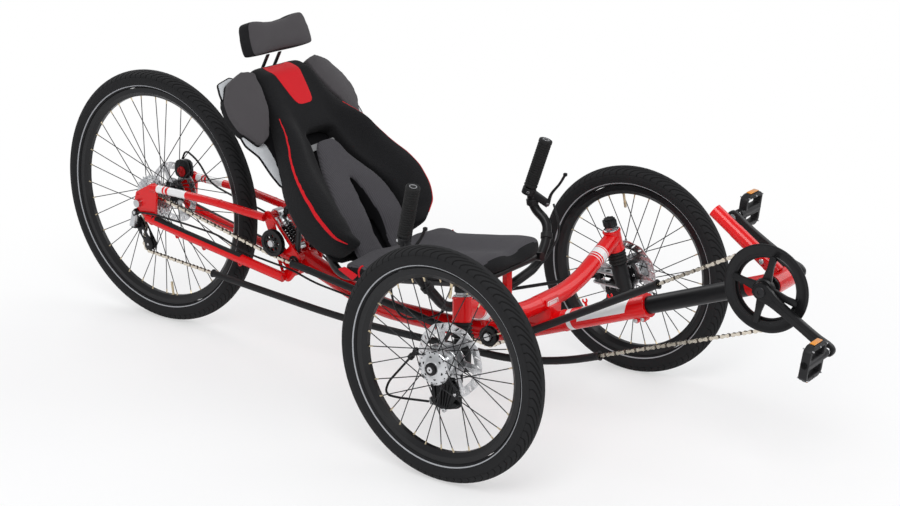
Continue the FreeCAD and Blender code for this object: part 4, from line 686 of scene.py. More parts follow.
meshBase = {"kind": "weave", "slot": "seat_mesh", "bump": 0.00025}
greyBase = {"kind": "weave", "slot": "seat_grey", "bump": 0.0003}
# deep: share of the colour left in the pores and between the ribs, which is painted shade, and in the thread pattern
# of plain weaves
cloths = {
    "blackSpacer": {**meshBase, "kind": "spacer", "colour": (0.011, 0.011, 0.012), "roughness": 0.92, "sheen": 0.03,
                    "size": 330.0, "deep": 0.35, "bump": 0.0005},
    "greyRibbed": {**greyBase, "colour": (0.068, 0.065, 0.072), "roughness": 0.9, "sheen": 0.05, "size": 2400.0,
                   "ribs": 620.0, "ribDepth": 1.2, "deep": 0.6, "bump": 0.0004},
    "greySuede": {**greyBase, "colour": (0.070, 0.065, 0.069), "roughness": 0.9, "sheen": 0.08, "size": 3000.0,
                  "deep": 0.8, "bump": 0.00025},
    "redCloth": {**meshBase, "colour": (0.70, 0.010, 0.018), "roughness": 0.75, "sheen": 0.1, "size": 2600.0,
                 "deep": 0.72, "faded": 1.1},
    "silverTape": {**meshBase, "colour": (0.60, 0.62, 0.64), "roughness": 0.5, "sheen": 0.0, "size": 3400.0,
                   "deep": 0.86, "bump": 0.00012, "faded": 1.2},
    "greyStrap": {**greyBase, "colour": (0.22, 0.22, 0.225), "roughness": 0.8, "sheen": 0.1, "size": 2200.0,
                  "deep": 0.6},
    "blackStrap": {**meshBase, "colour": (0.005, 0.005, 0.006), "roughness": 0.9, "sheen": 0.0, "size": 2200.0,
                   "deep": 0.6, "bump": 0.0003},
}
materials.update({name: seatCloth(name, settings) for name, settings in cloths.items()})
slots = {name: settings.get("slot") for name, settings in {**finishes, **cloths}.items()}
print("materials ready:", len(materials))


def dress(finishName, *nodeNames):
    for nodeName in nodeNames:
        paint(nodes[nodeName].data, [finishName])


# copies of a small item on the points of a mesh, made plain

def scatterTree():
    tree = bpy.data.node_groups.new("copiesOnPoints", "GeometryNodeTree")
    for name, kind, way in (("Geometry", "Geometry", "INPUT"), ("Item", "Object", "INPUT"),
                            ("Finish", "Material", "INPUT"), ("Geometry", "Geometry", "OUTPUT")):
        tree.interface.new_socket(name, in_out=way, socket_type="NodeSocket" + kind)
    given, out, item, points, turn, real, finish = (tree.nodes.new(kind) for kind in (
        "NodeGroupInput", "NodeGroupOutput", "GeometryNodeObjectInfo", "GeometryNodeInstanceOnPoints",
        "GeometryNodeInputNamedAttribute", "GeometryNodeRealizeInstances", "GeometryNodeSetMaterial"))
    turn.data_type = "QUATERNION"
    turn.inputs["Name"].default_value = "turn"
    for source, output, target, socket in (
            (given, "Item", item, "Object"), (given, "Geometry", points, "Points"),
            (item, "Geometry", points, "Instance"), (turn, "Attribute", points, "Rotation"),
            (points, "Instances", real, "Geometry"), (real, "Geometry", finish, "Geometry"),
            (given, "Finish", finish, "Material"), (finish, "Geometry", out, "Geometry")):
        tree.links.new(source.outputs[output], target.inputs[socket])
    return tree


copiesTree = scatterTree()
copiesSockets = {s.name: s.identifier for s in copiesTree.interface.items_tree if s.in_out == "INPUT"}


def copies(name, item, places, finishName, body="frame", replaced=(), crease=35):
    # item: shapes about their own origin; places: matrices in metres
    model = addObject(name + "Item", rawMesh(name + "Item", item))
    cleanMesh(model.data, crease)
    points = bpy.data.meshes.new(name)
    points.from_pydata([tuple(place.translation) for place in places], [], [])
    turns = points.attributes.new("turn", "QUATERNION", "POINT")
    for row, place in zip(turns.data, places):
        row.value = tuple(place.to_3x3().normalized().to_quaternion())
    base = addObject(name + "Points", points)
    modifier = base.modifiers.new("copies", "NODES")
    modifier.node_group = copiesTree
    modifier[copiesSockets["Item"]], modifier[copiesSockets["Finish"]] = model, materials[finishName]
    made = baked(base)
    paint(made, [finishName])
    base.modifiers.remove(modifier)
    bpy.data.objects.remove(base)
    bpy.data.objects.remove(model)
    return settle(addObject(name, made), body, replaced)


def turnedTo(place, axis):
    # matrix at the place with its own X along the axis
    return Matrix.Translation(Vector(place)) @ Vector(axis).to_track_quat("X", "Z").to_matrix().to_4x4()


def circlePlaces(centre, axis, aside, radius, count, turn=0.0):
    # places on a circle round an axle along X, in millimetres, facing along the axis
    return [turnedTo(centre + Vector((aside, y, z)) / 1000, axis) for y, z in ringLoop(0, 0, radius, count, turn)]


def boltItem(headRadius, headHigh):
    # socket screw along +X, its seat at the origin
    socket, floor = headRadius * 0.46, headHigh * 0.35
    return [lathe([(0, 0), (0, headRadius), (headHigh - 0.5, headRadius), (headHigh, headRadius - 0.5),
                   (headHigh, socket), (floor, socket), (floor, 0)], origin, leftward, 14)]


# wheels

tyreShape = {"height": 47.0, "bare": 148.0, "tread": 77.0, "rows": (8, 54), "groove": 1.3, "cut": 1.15, "pitch": 19.5,
             "sweep": 44.0}
frontWheel = {"bead": 203.0, "steps": 1248, "flanges": ((-20, 30), (20, 37)), "spokes": 32}
rearWheel = {"bead": 279.5, "steps": 1400, "flanges": ((-18.5, 30), (34.5, 30)), "spokes": 36}
rotorSize = {"radius": 80.0, "thick": 1.8, "lean": 0.62, "boltCircle": 22.0}


def treadDepth(along, theta, pitch):
    # 1 in a groove: slots that leave the shoulder square and sweep along the tyre towards its crown
    half, sweepLength = tyreShape["height"] / 2, tyreShape["sweep"]
    aside, edge = abs(theta) * half, 1.27 * half
    rim = 1.0 - abs(aside - edge - 1.2)
    turn = max(0.0, (edge - 5 - aside) / (edge - 9))
    steep = 1.6 * sweepLength / (edge - 9) * turn ** 0.6 if turn > 0 else 0.0
    gap = (along - sweepLength * turn ** 1.6 + (pitch / 2 if theta > 0 else 0) + pitch / 2) % pitch - pitch / 2
    slot = tyreShape["cut"] + 0.5 - abs(gap) / math.hypot(1, steep) if 4.5 < aside < edge + 1 else 0.0
    return min(max(slot, rim, 0.0), 1.0)


def tyreMesh(settings, centre):
    half, steps, bead = tyreShape["height"] / 2, settings["steps"], settings["bead"]
    limit, tread = math.radians(tyreShape["bare"]), math.radians(tyreShape["tread"])
    sideRows, treadRows = tyreShape["rows"]
    thetas = np.concatenate([np.linspace(-limit, -tread, sideRows, endpoint=False),
                             np.linspace(-tread, tread, treadRows),
                             np.linspace(tread, limit, sideRows + 1)[1:]])
    around = 2 * math.pi * (bead + 2 * half)
    pitch = around / round(around / tyreShape["pitch"])
    verts, grooves = [], []
    for step in range(steps):
        angle = step * 2 * math.pi / steps
        for theta in thetas:
            grooves.append(treadDepth(around * step / steps, theta, pitch) if abs(theta) < tread else 0.0)
            radial = half - tyreShape["groove"] * grooves[-1]
            out = bead + half + radial * math.cos(theta)
            verts.append((radial * math.sin(theta), out * math.cos(angle), out * math.sin(angle)))
    return {**shape(np.array(verts) / 1000 + np.array(centre), gridFaces(steps, len(thetas))), "groove": grooves}


def rotorShapes(centre, aside):
    radius, lean = rotorSize["radius"], rotorSize["lean"]
    wave = []
    for a in np.linspace(0, 2 * math.pi, 144, endpoint=False):
        edge = radius - 0.9 + 0.9 * math.cos(a * 12)
        wave.append((edge * math.cos(a), edge * math.sin(a)))
    holes = [ringLoop(0, 0, 15, 32)]
    for arm, (u, v) in enumerate(ringLoop(0, 0, radius - 8.5, 24)):
        length, direction = 5.2 if arm % 2 else 3.2, math.radians(15 * arm) + lean
        slot = []
        for end in (1, -1):
            for k in range(5):
                turn = direction + (0 if end > 0 else math.pi) - math.pi / 2 + k * math.pi / 4
                slot.append((u + end * length * math.cos(direction) + 1.5 * math.cos(turn),
                             v + end * length * math.sin(direction) + 1.5 * math.sin(turn)))
        holes.append(slot)
    for arm in range(6):
        twisted = []
        for u, v in slotLoop(60 * arm + 10, 60 * arm + 50, radius * 0.47, radius - 19, 7):
            twist = math.radians(26) * (math.hypot(u, v) / radius - 0.47)
            twisted.append((u * math.cos(twist) - v * math.sin(twist), u * math.sin(twist) + v * math.cos(twist)))
        holes.append(roundLoop(twisted, 2.0, 2))
    return [plate(wave, holes, rotorSize["thick"], wheelPlane(centre + leftward * aside / 1000), bevel=0.25)]


def rotorPieces(name, centre, aside, face, out, body):
    # disc and bolts; face is how far along out the boss's bolts sit
    key = name + "Rotor"
    materials[key], slots[key] = rotorSteel(key, centre), "rotor_steel"
    makePiece(name + "_rotor_disc", rotorShapes(centre, aside), [key], body, (name + "_rotor",))
    copies(name + "_rotor_bolts", boltItem(3.6, 2.2), circlePlaces(centre, out, face, rotorSize["boltCircle"], 6),
           "polishedSteel", body)


def spokeEnds(settings, side):
    # the two ends of every spoke about the wheel's centre, the right wheel being the left one turned round
    rows, rimRadius = [], settings["bead"] - 19
    for index in range(settings["spokes"]):
        flangeX, flangeRadius = settings["flanges"][index % 2]
        leading = 1 if (index // 2) % 2 else -1
        rimAngle = 2 * math.pi * index / settings["spokes"]
        hubAngle, hubRadius = rimAngle + leading * math.radians(62), flangeRadius - 3.5
        ends = ((flangeX + leading * 2.9, hubRadius, hubAngle), (3 if flangeX > 0 else -3, rimRadius, rimAngle))
        rows.append([Vector((x * side, radius * math.cos(angle) * side, radius * math.sin(angle))) / 1000
                     for x, radius, angle in ends])
    return rows


nippleItem = [lathe([(-9, 0), (-9, 1.5), (-1, 1.7), (0, 2.4), (1.0, 2.4), (1.0, 0)], origin, leftward, 8)]
headItem = [lathe([(-1.4, 0), (-1.4, 2.3), (-0.4, 2.6), (1.4, 2.0), (1.4, 0)], origin, leftward, 8)]
valveProfile = [(0, 0), (0, 4.6), (3.2, 4.6), (3.2, 3.0), (22, 3.0), (23, 2.6), (23, 3.4), (35, 3.2), (36, 2.4),
                (36, 0)]


def wheelPieces(name, side, settings, centre, body, valveAngle):
    key = name + "Tyre"
    materials[key], slots[key] = tyreRubber(key, centre, settings["bead"] / 1000), "tyre_rubber"
    makePiece(name + "_tyre_casing", [tyreMesh(settings, centre)], [key], body, (name + "_tyre",), crease=38)
    dress("rimBlack", name + "_rim")
    dress("darkSpoke", name + "_spokes")
    ends = spokeEnds(settings, side)
    copies(name + "_nipples", nippleItem, [turnedTo(centre + rim, rim - hub) for hub, rim in ends], "brass", body)
    heads = [turnedTo(centre + hub, leftward * (1 if hub.x > 0 else -1)) for hub, _ in ends]
    copies(name + "_spoke_heads", headItem, heads, "polishedSteel", body)
    along = Vector((0, math.cos(math.radians(valveAngle)), math.sin(math.radians(valveAngle))))
    foot = centre + along * (settings["bead"] - 17) / 1000
    makePiece(name + "_valve", [lathe(valveProfile, foot, -along, 16)], ["brass"], body)


frontHub = [(-34, 8.2), (-34, 19), (-33, 20), (-24, 20), (-21.5, 26), (-21.5, 29.5), (-21, 30), (-19, 30),
            (-18.5, 29.5), (-18.5, 22), (-15, 17), (0, 15.5), (14, 17), (17.5, 24), (17.5, 35.5), (18, 36.5),
            (20.4, 36.5), (21.4, 35.6), (23.2, 26), (25.4, 19), (28, 15.6), (28, 8.2)]
frontCaps = (([(28.1, 0), (28.1, 13.4), (31, 13.4), (33.0, 12.4), (33.6, 11), (33.6, 0)], 56, 1),
             ([(33.7, 0), (33.7, 6.4), (34.4, 6.6), (34.8, 6.0), (34.8, 1.9), (34.0, 1.7), (34.0, 0)], 24, 2),
             ([(33.9, 0), (33.9, 1.6), (34.3, 1.6), (34.3, 0)], 12, 1))
frontBoss = [(-37.4, 17), (-37.4, 27), (-36.9, 27.6), (-36.3, 27.6), (-36.3, 17)]


def frontWheelPieces(side, word):
    centre, out = jointPlace[f"front_{word}_spin"], leftward * side
    name, body = "front_" + word, f"front_{word}_wheel"
    wheelPieces(name, side, frontWheel, centre, body, 90 - 10 * side)
    hub = [lathe(frontHub, centre, out, 56),
           *[lathe(rows, centre, out, steps, mat) for rows, steps, mat in frontCaps]]
    makePiece(name + "_hub_shell", hub, ["silverAlloy", "blackAnodised", "polishedSteel"], body, (name + "_hub",))
    # painted shade: thin black discs stand in for the shaded hollows of the hub's drillings and windows
    for label, count, radius, rise, size in (("dimples", 16, 32.4, 22.0, 1.5), ("windows", 6, 23.0, 24.0, 3.0)):
        places = circlePlaces(centre, out, side * rise, radius, count, 0.6 * math.pi / count)
        copies(f"{name}_hub_{label}", [bar(size, -0.6, 0.35, origin, leftward, 12)], places, "blackAnodised", body)
    rotorPieces(name, centre, side * -35.2, side * -37.1, -out, body)
    makePiece(name + "_rotor_boss", [lathe(frontBoss, centre, out, 48)], ["blackAnodised"], body)


for wheelSide, wheelWord in bothSides:
    frontWheelPieces(wheelSide, wheelWord)
print("front wheels done")

rearHub = [(-62, 6.2), (-62, 16), (-60, 17), (-21, 17), (-20, 20), (-20, 29.5), (-19.5, 30), (-17.5, 30), (-17, 29.5),
           (-17, 21), (-12, 17.5), (5, 15.5), (25, 17.5), (33, 21), (33, 29.5), (33.5, 30), (35.5, 30), (36, 29.5),
           (36, 20), (43, 19.6), (49, 19.6), (49.2, 12), (62, 11), (63.6, 10), (63.6, 6.2)]
rearBoss = [(51.6, 12), (51.6, 26.5), (52.2, 27), (52.8, 26.5), (52.8, 12)]
cogCore = [(-61.9, 17.4), (-61.9, 20), (-45, 20.2), (-24, 21), (-24, 17.4)]
# place along the axle, teeth, tip radius, thickness
cogRows = ((-23.6, 32, 62, 1.8), (-27.4, 28, 56, 1.8), (-31.2, 25, 50, 1.8), (-35.0, 22, 44.5, 1.8),
           (-38.8, 20, 40, 1.8), (-42.6, 17, 34, 1.8), (-51.9, 14, 28.6, 1.7), (-56.0, 12, 24.2, 1.7),
           (-59.6, 11, 22.2, 1.7))


def cogPlate(aside, teeth, tip, thick):
    root, inner, holes = tip - (4.2 if thick == 1.8 else 4.0), 17.6, []
    if tip > 45:
        holes = [slotLoop(60 * k + 9.6, 60 * k + 50.4, inner + 4, root - 4.5, 6) for k in range(6)]
    return plate(toothedLoop(teeth, root, tip), [ringLoop(0, 0, inner, 40), *holes], thick,
                 wheelPlane(rearAxle + leftward * aside / 1000), bevel=0.35)


wheelPieces("rear", 1, rearWheel, rearAxle, "rear_wheel", -96)
makePiece("rear_hub_shell", [lathe(rearHub, rearAxle, leftward, 56)], ["blackAnodised"], "rear_wheel", ("rear_hub",))
rotorPieces("rear", rearAxle, 50.5, 52.6, leftward, "rear_wheel")
makePiece("rear_rotor_boss", [lathe(rearBoss, rearAxle, leftward, 48)], ["blackAnodised"], "rear_wheel")
makePiece("cassette_cogs", [cogPlate(*row) for row in cogRows] + [lathe(cogCore, rearAxle, leftward, 40, 1)],
          ["silverAlloy", "blackAnodised"], "rear_wheel", ("cassette",))
print("rear wheel done")


# seat: stuffed pads in the plane of the back, of the headrest or of the base

backFoot, backAlong, backOut = at(0, 440, 345), Vector((0, 0.6266, 0.7793)), Vector((0, 0.7793, -0.6266))
backPlane = planeAt(backFoot, leftward, backAlong)
basePlane = planeAt(at(0, 0, 0), leftward, rearward)
headPlane = (Matrix.Translation(at(0, 726, 757)) @ Matrix.Rotation(math.radians(-18), 4, "X")
             @ planeAt(origin, leftward, upward))


def behindBack(depth):
    return planeAt(backFoot + backOut * depth / 1000, leftward, backAlong)


def across(half):
    # the other side of a half outline
    return [(-w, s) for w, s in reversed(half)]


def padMesh(settings):
    # prism between two heights, remeshed evenly, rounded and then shaped, in local millimetres
    low, high = settings["low"], settings["high"]
    mesh = loopMesh(settings["loop"], [], high - low, 0.01)
    verts = pointsOf(mesh) + (0, 0, (low + high) / 2)
    mesh.vertices.foreach_set("co", (verts / 1000).ravel())
    cleanMesh(mesh)
    item = addObject("padBlank", mesh)
    remesh = item.modifiers.new("even", "REMESH")
    remesh.mode, remesh.voxel_size = "VOXEL", settings["voxel"] / 1000
    even = baked(item)
    bpy.data.objects.remove(item)
    work = bmesh.new()
    work.from_mesh(even)
    for _ in range(settings["rounding"]):
        bmesh.ops.smooth_vert(work, verts=work.verts[:], factor=0.5, use_axis_x=True, use_axis_y=True,
                              use_axis_z=True)
    for vert in work.verts:
        vert.co = Vector(settings["shaped"](*(vert.co * 1000))) / 1000
    work.to_mesh(even)
    work.free()
    return even


clothFill = {"quality": 6, "tension_stiffness": 22, "compression_stiffness": 22, "bending_stiffness": 1.2,
             "use_pressure": True, "uniform_pressure_force": 4.0}


def swell(item, cap):
    # let the cover fill out under pressure, each point moving no further than the cap
    before = pointsOf(item.data)
    cloth = item.modifiers.new("fill", "CLOTH")
    for name, value in clothFill.items():
        setattr(cloth.settings, name, value)
    cloth.settings.effector_weights.gravity = 0
    cloth.collision_settings.use_collision = False
    for step in range(1, 21):
        bpy.context.scene.frame_set(step)
    grown = baked(item)
    move = pointsOf(grown) - before
    move -= move.mean(axis=0)
    length = np.linalg.norm(move, axis=1)
    move *= (np.minimum(length, cap / 1000) / np.maximum(length, 1e-9))[:, None]
    ends = np.zeros(len(item.data.edges) * 2, int)
    item.data.edges.foreach_get("vertices", ends)
    first, second = ends.reshape(-1, 2).T
    degree = np.maximum(np.bincount(ends, minlength=len(move)), 1)[:, None]
    for _ in range(14):
        total = np.zeros_like(move)
        np.add.at(total, first, move[second])
        np.add.at(total, second, move[first])
        move = 0.4 * move + 0.6 * total / degree
    item.modifiers.remove(cloth)
    item.data.vertices.foreach_set("co", (before + move).ravel())
    bpy.data.meshes.remove(grown)
    bpy.context.scene.frame_set(1)


def stuffedPad(name, settings, matrix, replaced=()):
    mesh = padMesh(settings)
    mesh.transform(matrix @ Matrix.Scale(1000, 4))
    item = addObject(name, mesh)
    swell(item, settings["cap"])
    finer = item.modifiers.new("finer", "SUBSURF")
    finer.levels = finer.render_levels = 1
    made = baked(item)
    item.modifiers.remove(finer)
    item.data = made
    paint(made, settings["finishes"])
    if "cover" in settings:
        # the first cloth lies over the front and reaches this far down the sides, by place along the pad
        back = matrix.inverted()
        alongs, reaches = zip(*settings["cover"])
        for face in made.polygons:
            middle = back @ face.center
            level = settings["shaped"](middle.x, middle.y, settings["high"])[2] - np.interp(middle.y, alongs, reaches)
            face.material_index = 0 if middle.z > level else 1
    made.shade_smooth()
    settle(item, "frame", replaced)
    return item


def treeOf(item):
    work = bmesh.new()
    work.from_mesh(item.data)
    bmesh.ops.triangulate(work, faces=work.faces[:])
    tree = BVHTree.FromBMesh(work)
    work.free()
    return tree


def ribbon(tree, path, widths, matrix, lift, columns=5):
    # strip lying on a surface; path in local millimetres, width for each of its points
    steps = 8
    line = smoothLine(path, steps)
    turn = matrix.to_3x3().normalized()
    verts = []
    for place, tangent, size in zip(line, lineTangents(line), sizesAlong(line, steps, widths, len(path))):
        base = matrix @ Vector(place)
        sideways = tree.find_nearest(base)[1].cross(turn @ Vector(tangent)).normalized()
        for share in np.linspace(-1, 1, columns):
            hit, normal, _, _ = tree.find_nearest(base + sideways * share * size / 2000)
            verts.append(hit + normal * lift * (1 - 0.75 * abs(share) ** 3) / 1000)
    return shape(verts, gridFaces(len(line), columns, False, False))


def ribbonPiece(name, strips, finishName, thick=1.2):
    item = addObject(name, rawMesh(name, strips, [finishName]))
    solid = item.modifiers.new("thick", "SOLIDIFY")
    solid.thickness, solid.offset = thick / 1000, -0.6
    made = baked(item)
    item.modifiers.remove(solid)
    item.data = made
    cleanMesh(made, crease=50)
    return settle(item, "frame")


def easeIn(value, low, high):
    t = min(max((value - low) / (high - low), 0.0), 1.0)
    return t * t * (3 - 2 * t)


def table(rows, column=1):
    # value read off sorted rows of (place, values...)
    places, values = [row[0] for row in rows], [row[column] for row in rows]
    return lambda place: float(np.interp(place, places, values))


backHalf = [(140, 2), (186, 34), (205, 80), (208, 125), (200, 172), (176, 228), (150, 280), (128, 330), (110, 385),
            (98, 440), (88, 478), (74, 499)]
openingHalf = [(113, 30), (110, 90), (97, 135), (80, 178), (62, 228), (52, 270), (44, 298)]
backWidth = table([(s, w) for w, s in backHalf])


def lumbar(s):
    return 15 * easeIn(s, -20, 70) * (1 - easeIn(s, 120, 235))


def backShape(x, s, d):
    # bolsters beside a hollow; front is positive and the rear face stays flat
    front, width = easeIn(d, -46, -6), backWidth(s)
    depth, share = 36 * (1 - easeIn(s, 270, 400)) + 5, abs(x) / width
    bolster = depth * easeIn(share, 0.42, 0.93) - depth * 0.35 * easeIn(share, 0.93, 1.04)
    rear = (1 - front) * -0.18 * max(0.0, abs(x) - width * 0.65)
    return (x + (rear if x > 0 else -rear), s, d + (bolster + lumbar(s) - 14 * easeIn(s, 455, 505)) * front)


outerHalf = [(150, 0), *backHalf[1:]]
backRing = [*outerHalf, *across(outerHalf), (-112, -2), *[(-w, s) for w, s in openingHalf], *reversed(openingHalf),
            (112, -2)]
backPad = stuffedPad("seat_back_cover", {
    "loop": softLoop(backRing), "low": -48, "high": -6, "voxel": 5.0, "rounding": 9, "shaped": backShape, "cap": 7,
    "finishes": ["blackSpacer"], "fill": 0.75}, backPlane, ("seat_back_pad",))
print("back cover done")

panelHalf = [(96, -34), (103, 10), (106, 60), (104, 98), (93, 140), (74, 188), (52, 232), (36, 262), (18, 274)]
slitHalf = [(-24, -36), (-22, 50), (-16, 110), (-9, 152)]


def panelShape(x, s, d):
    # crowned, with its back drawn forward where it meets the base
    front, crown = easeIn(d, -30, -16), 7 * (1 - (abs(x) / 110) ** 2)
    return (x, s, d + (lumbar(s) * 1.15 + crown) * front + 10 * (1 - front) * easeIn(60 - s, 0, 1))


stuffedPad("seat_centre_panel", {
    "loop": softLoop([*panelHalf, *across(panelHalf), *slitHalf, (0, 164), *across(slitHalf)]),
    "low": -32, "high": -12, "voxel": 4.0, "rounding": 5, "shaped": panelShape, "cap": 5,
    "finishes": ["greyRibbed", "blackStrap"], "fill": 0.6, "cover": [(0, 7)]}, backPlane)

slingHalf = [(128, -10), (160, 60), (172, 130), (160, 230), (152, 300), (172, 352), (190, 410), (176, 462),
             (118, 486)]


def slingShape(x, s, d):
    return (x, s, d + 10 * (abs(x) / 180) ** 2)


stuffedPad("seat_back_sling", {
    "loop": softLoop(slingHalf + across(slingHalf)), "low": -52, "high": -44, "voxel": 5.0, "rounding": 2,
    "shaped": slingShape, "cap": 2, "finishes": ["blackStrap"], "fill": 0.3}, backPlane)

wingHalf = [(90, 480), (128, 489), (172, 474), (206, 432), (214, 396), (210, 360), (176, 308), (150, 320), (112, 385),
            (96, 434)]


def wingShape(x, s, d):
    # full in its middle and turned back towards the outside
    middle = math.exp(-((abs(x) - 150) / 44) ** 2 - ((s - 405) / 70) ** 2)
    return (x, s, d + 8 * middle * easeIn(d, -36, -12) - 18 * easeIn(abs(x), 110, 207))


for wingSide, wingWord in bothSides:
    stuffedPad("shoulder_wing_" + wingWord, {
        "loop": roundLoop([(wingSide * w, s) for w, s in wingHalf], 6, 2), "low": -36, "high": -8, "voxel": 4.0,
        "rounding": 3, "shaped": wingShape, "cap": 5, "finishes": ["greySuede", "blackSpacer"], "fill": 0.7,
        "cover": [(0, 9)]}, backPlane, ("shoulder_pads",))
print("panel and wings done")

headHalf = [(84, -1), (100, 4), (103, 22), (98, 58), (92, 74), (76, 78), (40, 76), (12, 75)]


def headShape(x, s, d):
    return (x, s, d - 5 * math.cos(min(abs(x) / 80, 1) * math.pi / 2) * easeIn(d, -25, -3))


stuffedPad("headrest_cushion", {
    "loop": softLoop(headHalf + across(headHalf)), "low": -47, "high": -3, "voxel": 4.0, "rounding": 9,
    "shaped": headShape, "cap": 6, "finishes": ["greySuede", "blackSpacer"], "fill": 0.8, "cover": [(0, 6)]},
    headPlane, ("headrest_pad",))

baseHalf = [(30, 64), (70, 66), (112, 84), (140, 116), (152, 160), (154, 230), (156, 300), (172, 352), (180, 400),
            (170, 422), (120, 424)]
baseTop = table(((60, 384), (100, 380), (190, 364), (320, 346), (430, 332)))


def baseShape(x, y, z):
    # thigh lobes either side of a shallow channel, rolled down at the front
    upper = easeIn(z, -34, -4)
    lobes = 6 * math.exp(-((abs(x) - 78) / 42) ** 2) * easeIn(y, 70, 150)
    channel = -7 * math.exp(-(x / 34) ** 2) * (1 - easeIn(y, 230, 330))
    rollFront = -16 * (1 - easeIn(y, 60, 112)) ** 2
    sideRoll = -9 * easeIn(abs(x), 108, 156) * (1 - easeIn(y, 330, 400))
    rearSide = -9 * easeIn(y, 330, 400) * (1 - upper) * easeIn(abs(x), 110, 165)
    return (x, y, baseTop(y) + z + (lobes + channel + rollFront + sideRoll) * upper + rearSide)


baseCushion = stuffedPad("seat_base_cushion", {
    "loop": softLoop(baseHalf + across(baseHalf)), "low": -34, "high": -3, "voxel": 5.0, "rounding": 6,
    "shaped": baseShape, "cap": 5, "finishes": ["greyRibbed", "blackSpacer"], "fill": 0.6,
    "cover": [(86, -60), (88, 17), (330, 17), (372, 4)]}, basePlane, ("seat_base_pad",))
print("headrest and base done")


# trim laid on the cushions

backTree, baseTree = treeOf(backPad), treeOf(baseCushion)
# across, along, forward and width of each side stripe
crest = [(138, 366, 20, 0.8), (178, 306, 28, 7), (208, 240, 34, 11), (218, 172, 36, 13), (215, 112, 36, 13),
         (200, 62, 33, 11), (181, 34, 28, 7), (150, 12, 24, 0.8)]
sideStripes = []
for sign, inward, forward in ((1, 8, 14), (-1, 0, 0)):
    path = [(sign * (x - inward), s, d + forward) for x, s, d, _ in crest]
    sideStripes.append(ribbon(backTree, path, [row[3] for row in crest], backPlane, lift=0.8))
ribbonPiece("seat_side_stripes", sideStripes, "redCloth")


def patchGrid(tree, corners, matrix, rows, columns):
    # cloth patch over four corners (left bottom, right bottom, right top, left top), its own corners rounded
    leftBottom, rightBottom, rightTop, leftTop = (np.array(c, float) for c in corners)
    aim = (matrix.to_3x3().normalized() @ -upward).normalized()
    verts = []
    for edgeV in np.linspace(-1, 1, rows + 1):
        for edgeU in np.linspace(-1, 1, columns + 1):
            square = 1 - 0.12 * (edgeU * edgeV) ** 4
            u, v = 0.5 + 0.5 * edgeU * square, 0.5 + 0.5 * edgeV * square
            point = (leftBottom * (1 - u) + rightBottom * u) * (1 - v) + (leftTop * (1 - u) + rightTop * u) * v
            start = matrix @ Vector((*point, 200))
            hit, normal, _, _ = tree.ray_cast(start, aim)
            if hit is None:
                hit, normal, _, _ = tree.find_nearest(start + aim * 0.2)
            edge = max(abs(edgeU), abs(edgeV))
            verts.append(hit + normal * (0.9 * (1 - 0.6 * edge ** 8)) / 1000)
    return shape(verts, gridFaces(rows + 1, columns + 1, False, False))


patch = patchGrid(backTree, [(-29, 370), (29, 370), (50, 496), (-50, 496)], backPlane, 18, 14)
ribbonPiece("seat_top_patch", [patch], "redCloth", thick=1.4)

# stiff reflective panels behind each shoulder, bound in black
flankPanels = (
    [(176, 430), (201, 438), (197, 458), (187, 484), (140, 494), (124, 484)],
    [(128, 312), (150, 250), (164, 200), (176, 206), (184, 240), (188, 288), (209, 322), (209, 348), (190, 344)],
)
for panelSide, panelWord in bothSides:
    panels = []
    for corners in flankPanels:
        flat = roundLoop([(panelSide * x, s) for x, s in corners], 7, 3)[::panelSide]
        panels.append(plate(flat, [edgeRing(flat, 2.6)], 5.0, behindBack(40), bevel=0.9, mat=1))
        panels.append(plate(edgeRing(flat, 2.4), [], 3.6, behindBack(40), bevel=0.8))
    makePiece(f"flank_panels_{panelWord}", panels, ["silverTape", "blackStrap"])
strap = roundLoop([(-60, 254), (36, 262), (36, 274), (-60, 270)], 3, 2)
makePiece("seat_lumbar_strap", [plate(strap, [], 2.4, behindBack(12), bevel=0.6)], ["greyStrap"])
tag = roundLoop([(431, 320), (412, 329), (374, 315), (389, 301)], 4, 3)
tagPlanes = [wheelPlane(at(sign * 182, 0, 0)) for sign in (1, -1)]
makePiece("seat_base_tags", [plate(tag, [], 4.0, plane, bevel=1.2) for plane in tagPlanes], ["redCloth"])
seam = ((376, 308), (377, 322), (372, 336), (366, 352))
ribbonPiece("seat_base_piping", [ribbon(baseTree, [(sign * 176, y, z) for y, z in seam], [3, 3.4, 3.4, 3],
                                        basePlane, lift=1.4)
                                 for sign in (1, -1)], "redCloth")
print("seat trim done")


# drive: chain, ring, cranks, pedals, idlers and derailleur

chainX, crankAngle, linkPitch = -52.0, 31.5, 12.7
# circles the chain runs round: place, radius and sense; the two largest are its slack in the tubes
chainRows = ((-553, 431.7, 80.9, -1), (110, 190, 22, 1), (744, 292, 32, 1), (1175, 326.5, 28.4, -1),
             (1199, 264.5, 21, 1), (1167, 214.5, 21, -1), (420, 3144, 3000, -1), (130, 947, 800, -1))


